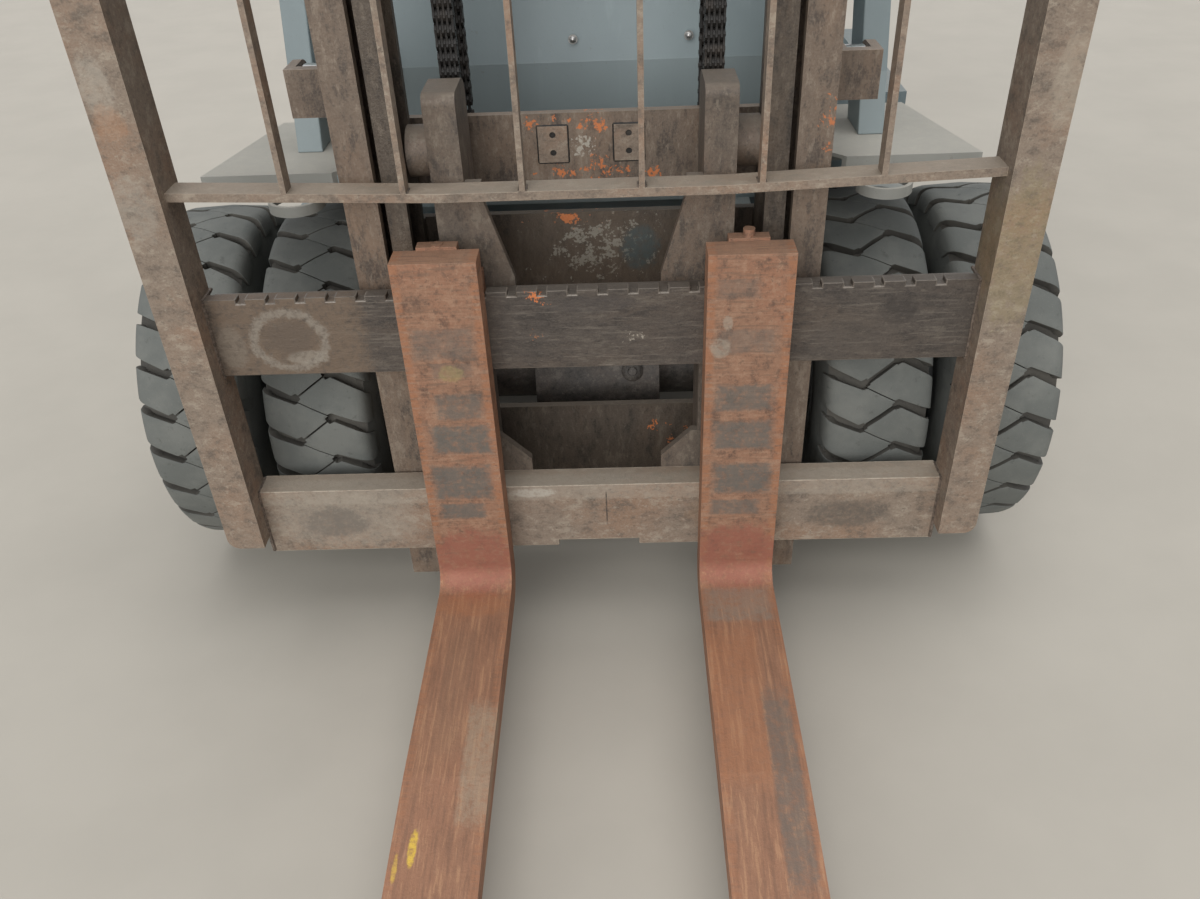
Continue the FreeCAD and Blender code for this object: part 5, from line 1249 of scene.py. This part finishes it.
WHEEL_PLACE = middle_of("steering_wheel")
WHEEL_LEAN = math.radians(25)
WHEEL_RADIUS = 0.180
FINGER_WAVES = 36
wheel_up = Vector((0, math.sin(WHEEL_LEAN), math.cos(WHEEL_LEAN)))
grip = hoop(WHEEL_RADIUS, 0.0150, 96, 14)
grip_points = []
for x, y, z in grip[0]:
    turn = math.atan2(y, x)
    swell = 1 + 0.004 * math.cos(FINGER_WAVES * turn)
    grip_points.append((x * swell, y * swell, z))
piece("wheel_grip", copies((grip_points, grip[1]), [along(WHEEL_PLACE, wheel_up)]), black_plastic, "chassis")
cap = lathe([(0.046, -0.004), (0.046, 0.010), (0.040, 0.017), (0.020, 0.021), (0, 0.022)], 32)
piece("wheel_cap", copies(cap, [along(WHEEL_PLACE + wheel_up * 0.012, wheel_up)]), black_plastic, "chassis")
print("The wheel's middle is", [round(part, 3) for part in WHEEL_PLACE])

# %% [markdown]
# ## The hood
#
# Warm air leaves through louvres, which are pressed out of the sheet as half hoods. A rubber latch
# pulls the front edge down. The tanks beside the hood get their filler caps here too.

# %% Louvres and the latch
def louvre(long, tall, out):
    """A pressed louvre, its length along X, open below, standing out along +Z."""
    points, faces = [], []
    rows = 6
    for row in range(rows + 1):
        turn = math.pi / 2 * row / rows
        y = tall * (1 - math.cos(turn)) - tall
        z = out * math.sin(turn)
        trim = 0.010 * (1 - math.sin(turn))
        points += [(-long / 2 + trim - 0.004, -y - tall, 0), (-long / 2 + 0.006 + trim, -y - tall, z),
                   (long / 2 - 0.006 - trim, -y - tall, z), (long / 2 - trim + 0.004, -y - tall, 0)]
    for row in range(rows):
        here = row * 4
        for step in range(3):
            faces.append((here + step, here + 4 + step, here + 5 + step, here + 1 + step))
    return points, faces


hood_low, hood_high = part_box("hood")
LOUVRE_ROWS = 7
LOUVRE_PITCH = 0.030
louvres = []
for sign in (-1, 1):
    for row in range(LOUVRE_ROWS):
        place = Matrix.Translation((sign * (hood_high.x - 0.0005), 0.900, 0.900 + row * LOUVRE_PITCH))
        turn = Matrix(((0, 0, sign, 0), (sign, 0, 0, 0), (0, 1, 0, 0), (0, 0, 0, 1)))
        louvres.append(copies(louvre(0.340, 0.016, 0.009), [place @ turn]))
piece("hood_louvres", joined(*louvres), body_blue, "hood")
latch = joined(slab((-0.028, hood_low.y - 0.010, 1.070), (0.028, hood_low.y + 0.001, 1.150), 0.003),
               slab((-0.016, hood_low.y - 0.022, 1.085), (0.016, hood_low.y - 0.008, 1.110), 0.004))
piece("hood_latch", latch, black_plastic, "hood")
tank_cap = lathe([(0.040, -0.004), (0.040, 0.012), (0.036, 0.016), (0.036, 0.026), (0.031, 0.030),
                  (0, 0.031)], 28)
cap_grip = slab((-0.030, -0.006, 0.028), (0.030, 0.006, 0.040), 0.003)
CAP_X, CAP_Y = 0.760, 0.620
TANK_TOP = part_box("fuel_tank")[1].z
cap_places = [Matrix.Translation((side * CAP_X, CAP_Y, TANK_TOP)) for side in (-1, 1)]
caps = copies(joined(tank_cap, cap_grip), cap_places)
piece("tank_caps", caps, black_paint, "chassis")
print("Louvres:", len(louvres))

# %% [markdown]
# ## Cushions
#
# The seat's solids are plain blocks that hold its room. Each cushion is a grid on the block's
# outline. Its top swells between sewn channels, a sunk seam runs round them, the edge rolls over and
# the sides draw in towards the foot.

# %% Cushions
EDGE_ROLL = 0.030
SEAM_IN = 0.075
CHANNEL_SWELL = 0.006
SEAM_SINK = 0.005


def cushion(size, channels, crown):
    """An upholstered block on z = 0 about the Z axis. Its crowned face looks up."""
    across, along_way = 40, 44
    corner = 0.055
    points, faces = [], []
    rows = []
    for row in range(along_way + 1):
        line = []
        for column in range(across + 1):
            u = column / across * 2 - 1
            v = row / along_way * 2 - 1
            x, y = u * size.x / 2, v * size.y / 2
            edge = min(size.x / 2 - abs(x), size.y / 2 - abs(y))
            swell = crown * (1 - abs(u) ** 3) * (1 - abs(v) ** 3)
            round_over = EDGE_ROLL * (1 - min(1, edge / EDGE_ROLL)) ** 2
            inner = max(abs(x) / (size.x / 2 - SEAM_IN), abs(y) / (size.y / 2 - SEAM_IN))
            channel = abs(math.sin(math.pi * channels * (v + 1) / 2)) ** 0.5
            ribs = CHANNEL_SWELL * channel if inner < 1 else 0.0
            seam = SEAM_SINK * math.exp(-((inner - 1.03) / 0.035) ** 2)
            z = size.z - crown + swell - round_over + ribs - seam - 0.006
            shrink = 1 - 0.35 * corner * max(0, abs(u) - 0.80) * max(0, abs(v) - 0.80) / 0.04
            line.append(len(points))
            points.append((x * shrink, y * shrink, z))
        rows.append(line)
    for row in range(along_way):
        for column in range(across):
            faces.append((rows[row][column], rows[row][column + 1], rows[row + 1][column + 1],
                          rows[row + 1][column]))
    ring = rows[0] + [line[-1] for line in rows[1:-1]] + list(reversed(rows[-1]))
    ring += [line[0] for line in reversed(rows[1:-1])]
    last = ring
    for share, out in ((0.85, 0.0), (0.6, 0.0), (0.3, -0.002), (0.05, -0.006), (0.0, -0.014)):
        nearby = []
        for index in ring:
            x, y, z = points[index]
            reach = 1 + out / (size.x / 2)
            nearby.append(len(points))
            points.append((x * reach, y * reach, z * share))
        for place in range(len(ring)):
            after = (place + 1) % len(ring)
            faces.append((last[after], last[place], nearby[place], nearby[after]))
        last = nearby
    faces.append(tuple(last))
    return points, faces


seat_low, seat_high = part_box("seat_cushion")
seat_size = seat_high - seat_low
seat_place = Matrix.Translation(((seat_low.x + seat_high.x) / 2, (seat_low.y + seat_high.y) / 2, seat_low.z))
seat = piece("seat_cushion_cover", copies(cushion(seat_size, 5, 0.030), [seat_place]), seat_vinyl,
             "hood", 50)
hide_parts("seat_cushion")

BACK_FOOT = Vector((0, 1.148, 1.565))
back_turn = Matrix(((1, 0, 0, 0), (0, 0.236, -0.972, 0), (0, 0.972, 0.236, 0), (0, 0, 0, 1)))
back_place = Matrix.Translation(BACK_FOOT) @ back_turn
back_shell = slab((-0.226, -0.238, -0.016), (0.226, 0.236, 0.006), 0.007)
back_feet = [slab((x - 0.024, 1.010, 1.191), (x + 0.024, 1.100, 1.345), 0.005) for x in (-0.105, 0.105)]
BACK_SIZE = Vector((0.470, 0.505, 0.085))
back_shape = joined(copies(cushion(BACK_SIZE, 6, 0.026), [back_place]),
                    copies(back_shell, [back_place]), *back_feet)
back = piece("seat_back_cover", back_shape, seat_vinyl, "hood", 50)
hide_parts("seat_back")
print("Seat:", round(seat_size.x, 3), "metres wide")

# %% [markdown]
# ## The floor and the light
#
# The studio is a pale floor under a white sky, with soft daylight from above and from the front, as
# in a workshop with skylights and an open gate. Both lights are suns, because a lamp near the floor
# would leave a bright pool on it. The sky shows to the camera and in reflections at its own colour,
# and it lights the truck at a lower level.

# %% The studio
FLOOR_COLOUR = (0.42, 0.39, 0.335)
floor_finish = Finish("pale floor")
grit = floor_finish.noise(2.2, 5, 0.6)
floor_finish.done(
    Base_Color=floor_finish.mix(grit.between(0.3, 0.7), tuple(part * 0.94 for part in FLOOR_COLOUR),
                                FLOOR_COLOUR),
    Roughness=0.75)
floor_mesh = bpy.data.meshes.new("floor")
FLOOR_REACH = 40
floor_mesh.from_pydata([(-FLOOR_REACH, -FLOOR_REACH, 0), (FLOOR_REACH, -FLOOR_REACH, 0),
                        (FLOOR_REACH, FLOOR_REACH, 0), (-FLOOR_REACH, FLOOR_REACH, 0)], [], [(0, 1, 2, 3)])
floor_mesh.materials.append(floor_finish.material)
floor = bpy.data.objects.new("floor", floor_mesh)
bpy.context.scene.collection.objects.link(floor)

world = bpy.data.worlds.new("sky")
bpy.context.scene.world = world
world.use_nodes = True
sky = world.node_tree
backdrop = sky.nodes["Background"]
rays = sky.nodes.new("ShaderNodeLightPath")
seen = sky.nodes.new("ShaderNodeMath")
seen.operation = "MAXIMUM"
sky.links.new(rays.outputs["Is Camera Ray"], seen.inputs[0])
sky.links.new(rays.outputs["Is Glossy Ray"], seen.inputs[1])
SKY_LIGHT = 0.44
SKY_SEEN = 0.86
strength = sky.nodes.new("ShaderNodeMapRange")
strength.inputs["To Min"].default_value = SKY_LIGHT
strength.inputs["To Max"].default_value = SKY_SEEN
sky.links.new(seen.outputs[0], strength.inputs["Value"])
sky.links.new(strength.outputs[0], backdrop.inputs["Strength"])
backdrop.inputs["Color"].default_value = (0.93, 0.95, 1.0, 1)


def daylight(name, source, power, softness):
    """Light from one side, even over the whole floor, with shadows as soft as this angle makes them."""
    light = bpy.data.lights.new(name, "SUN")
    light.energy = power
    light.angle = math.radians(softness)
    made = bpy.data.objects.new(name, light)
    made.matrix_world = along((0, 0, 6), source)
    bpy.context.scene.collection.objects.link(made)


daylight("skylight", (0.12, 0.05, 1.0), 1.65, 60)
daylight("open gate", (-0.25, -0.85, 0.42), 2.3, 55)
bpy.context.scene.view_settings.view_transform = "Standard"
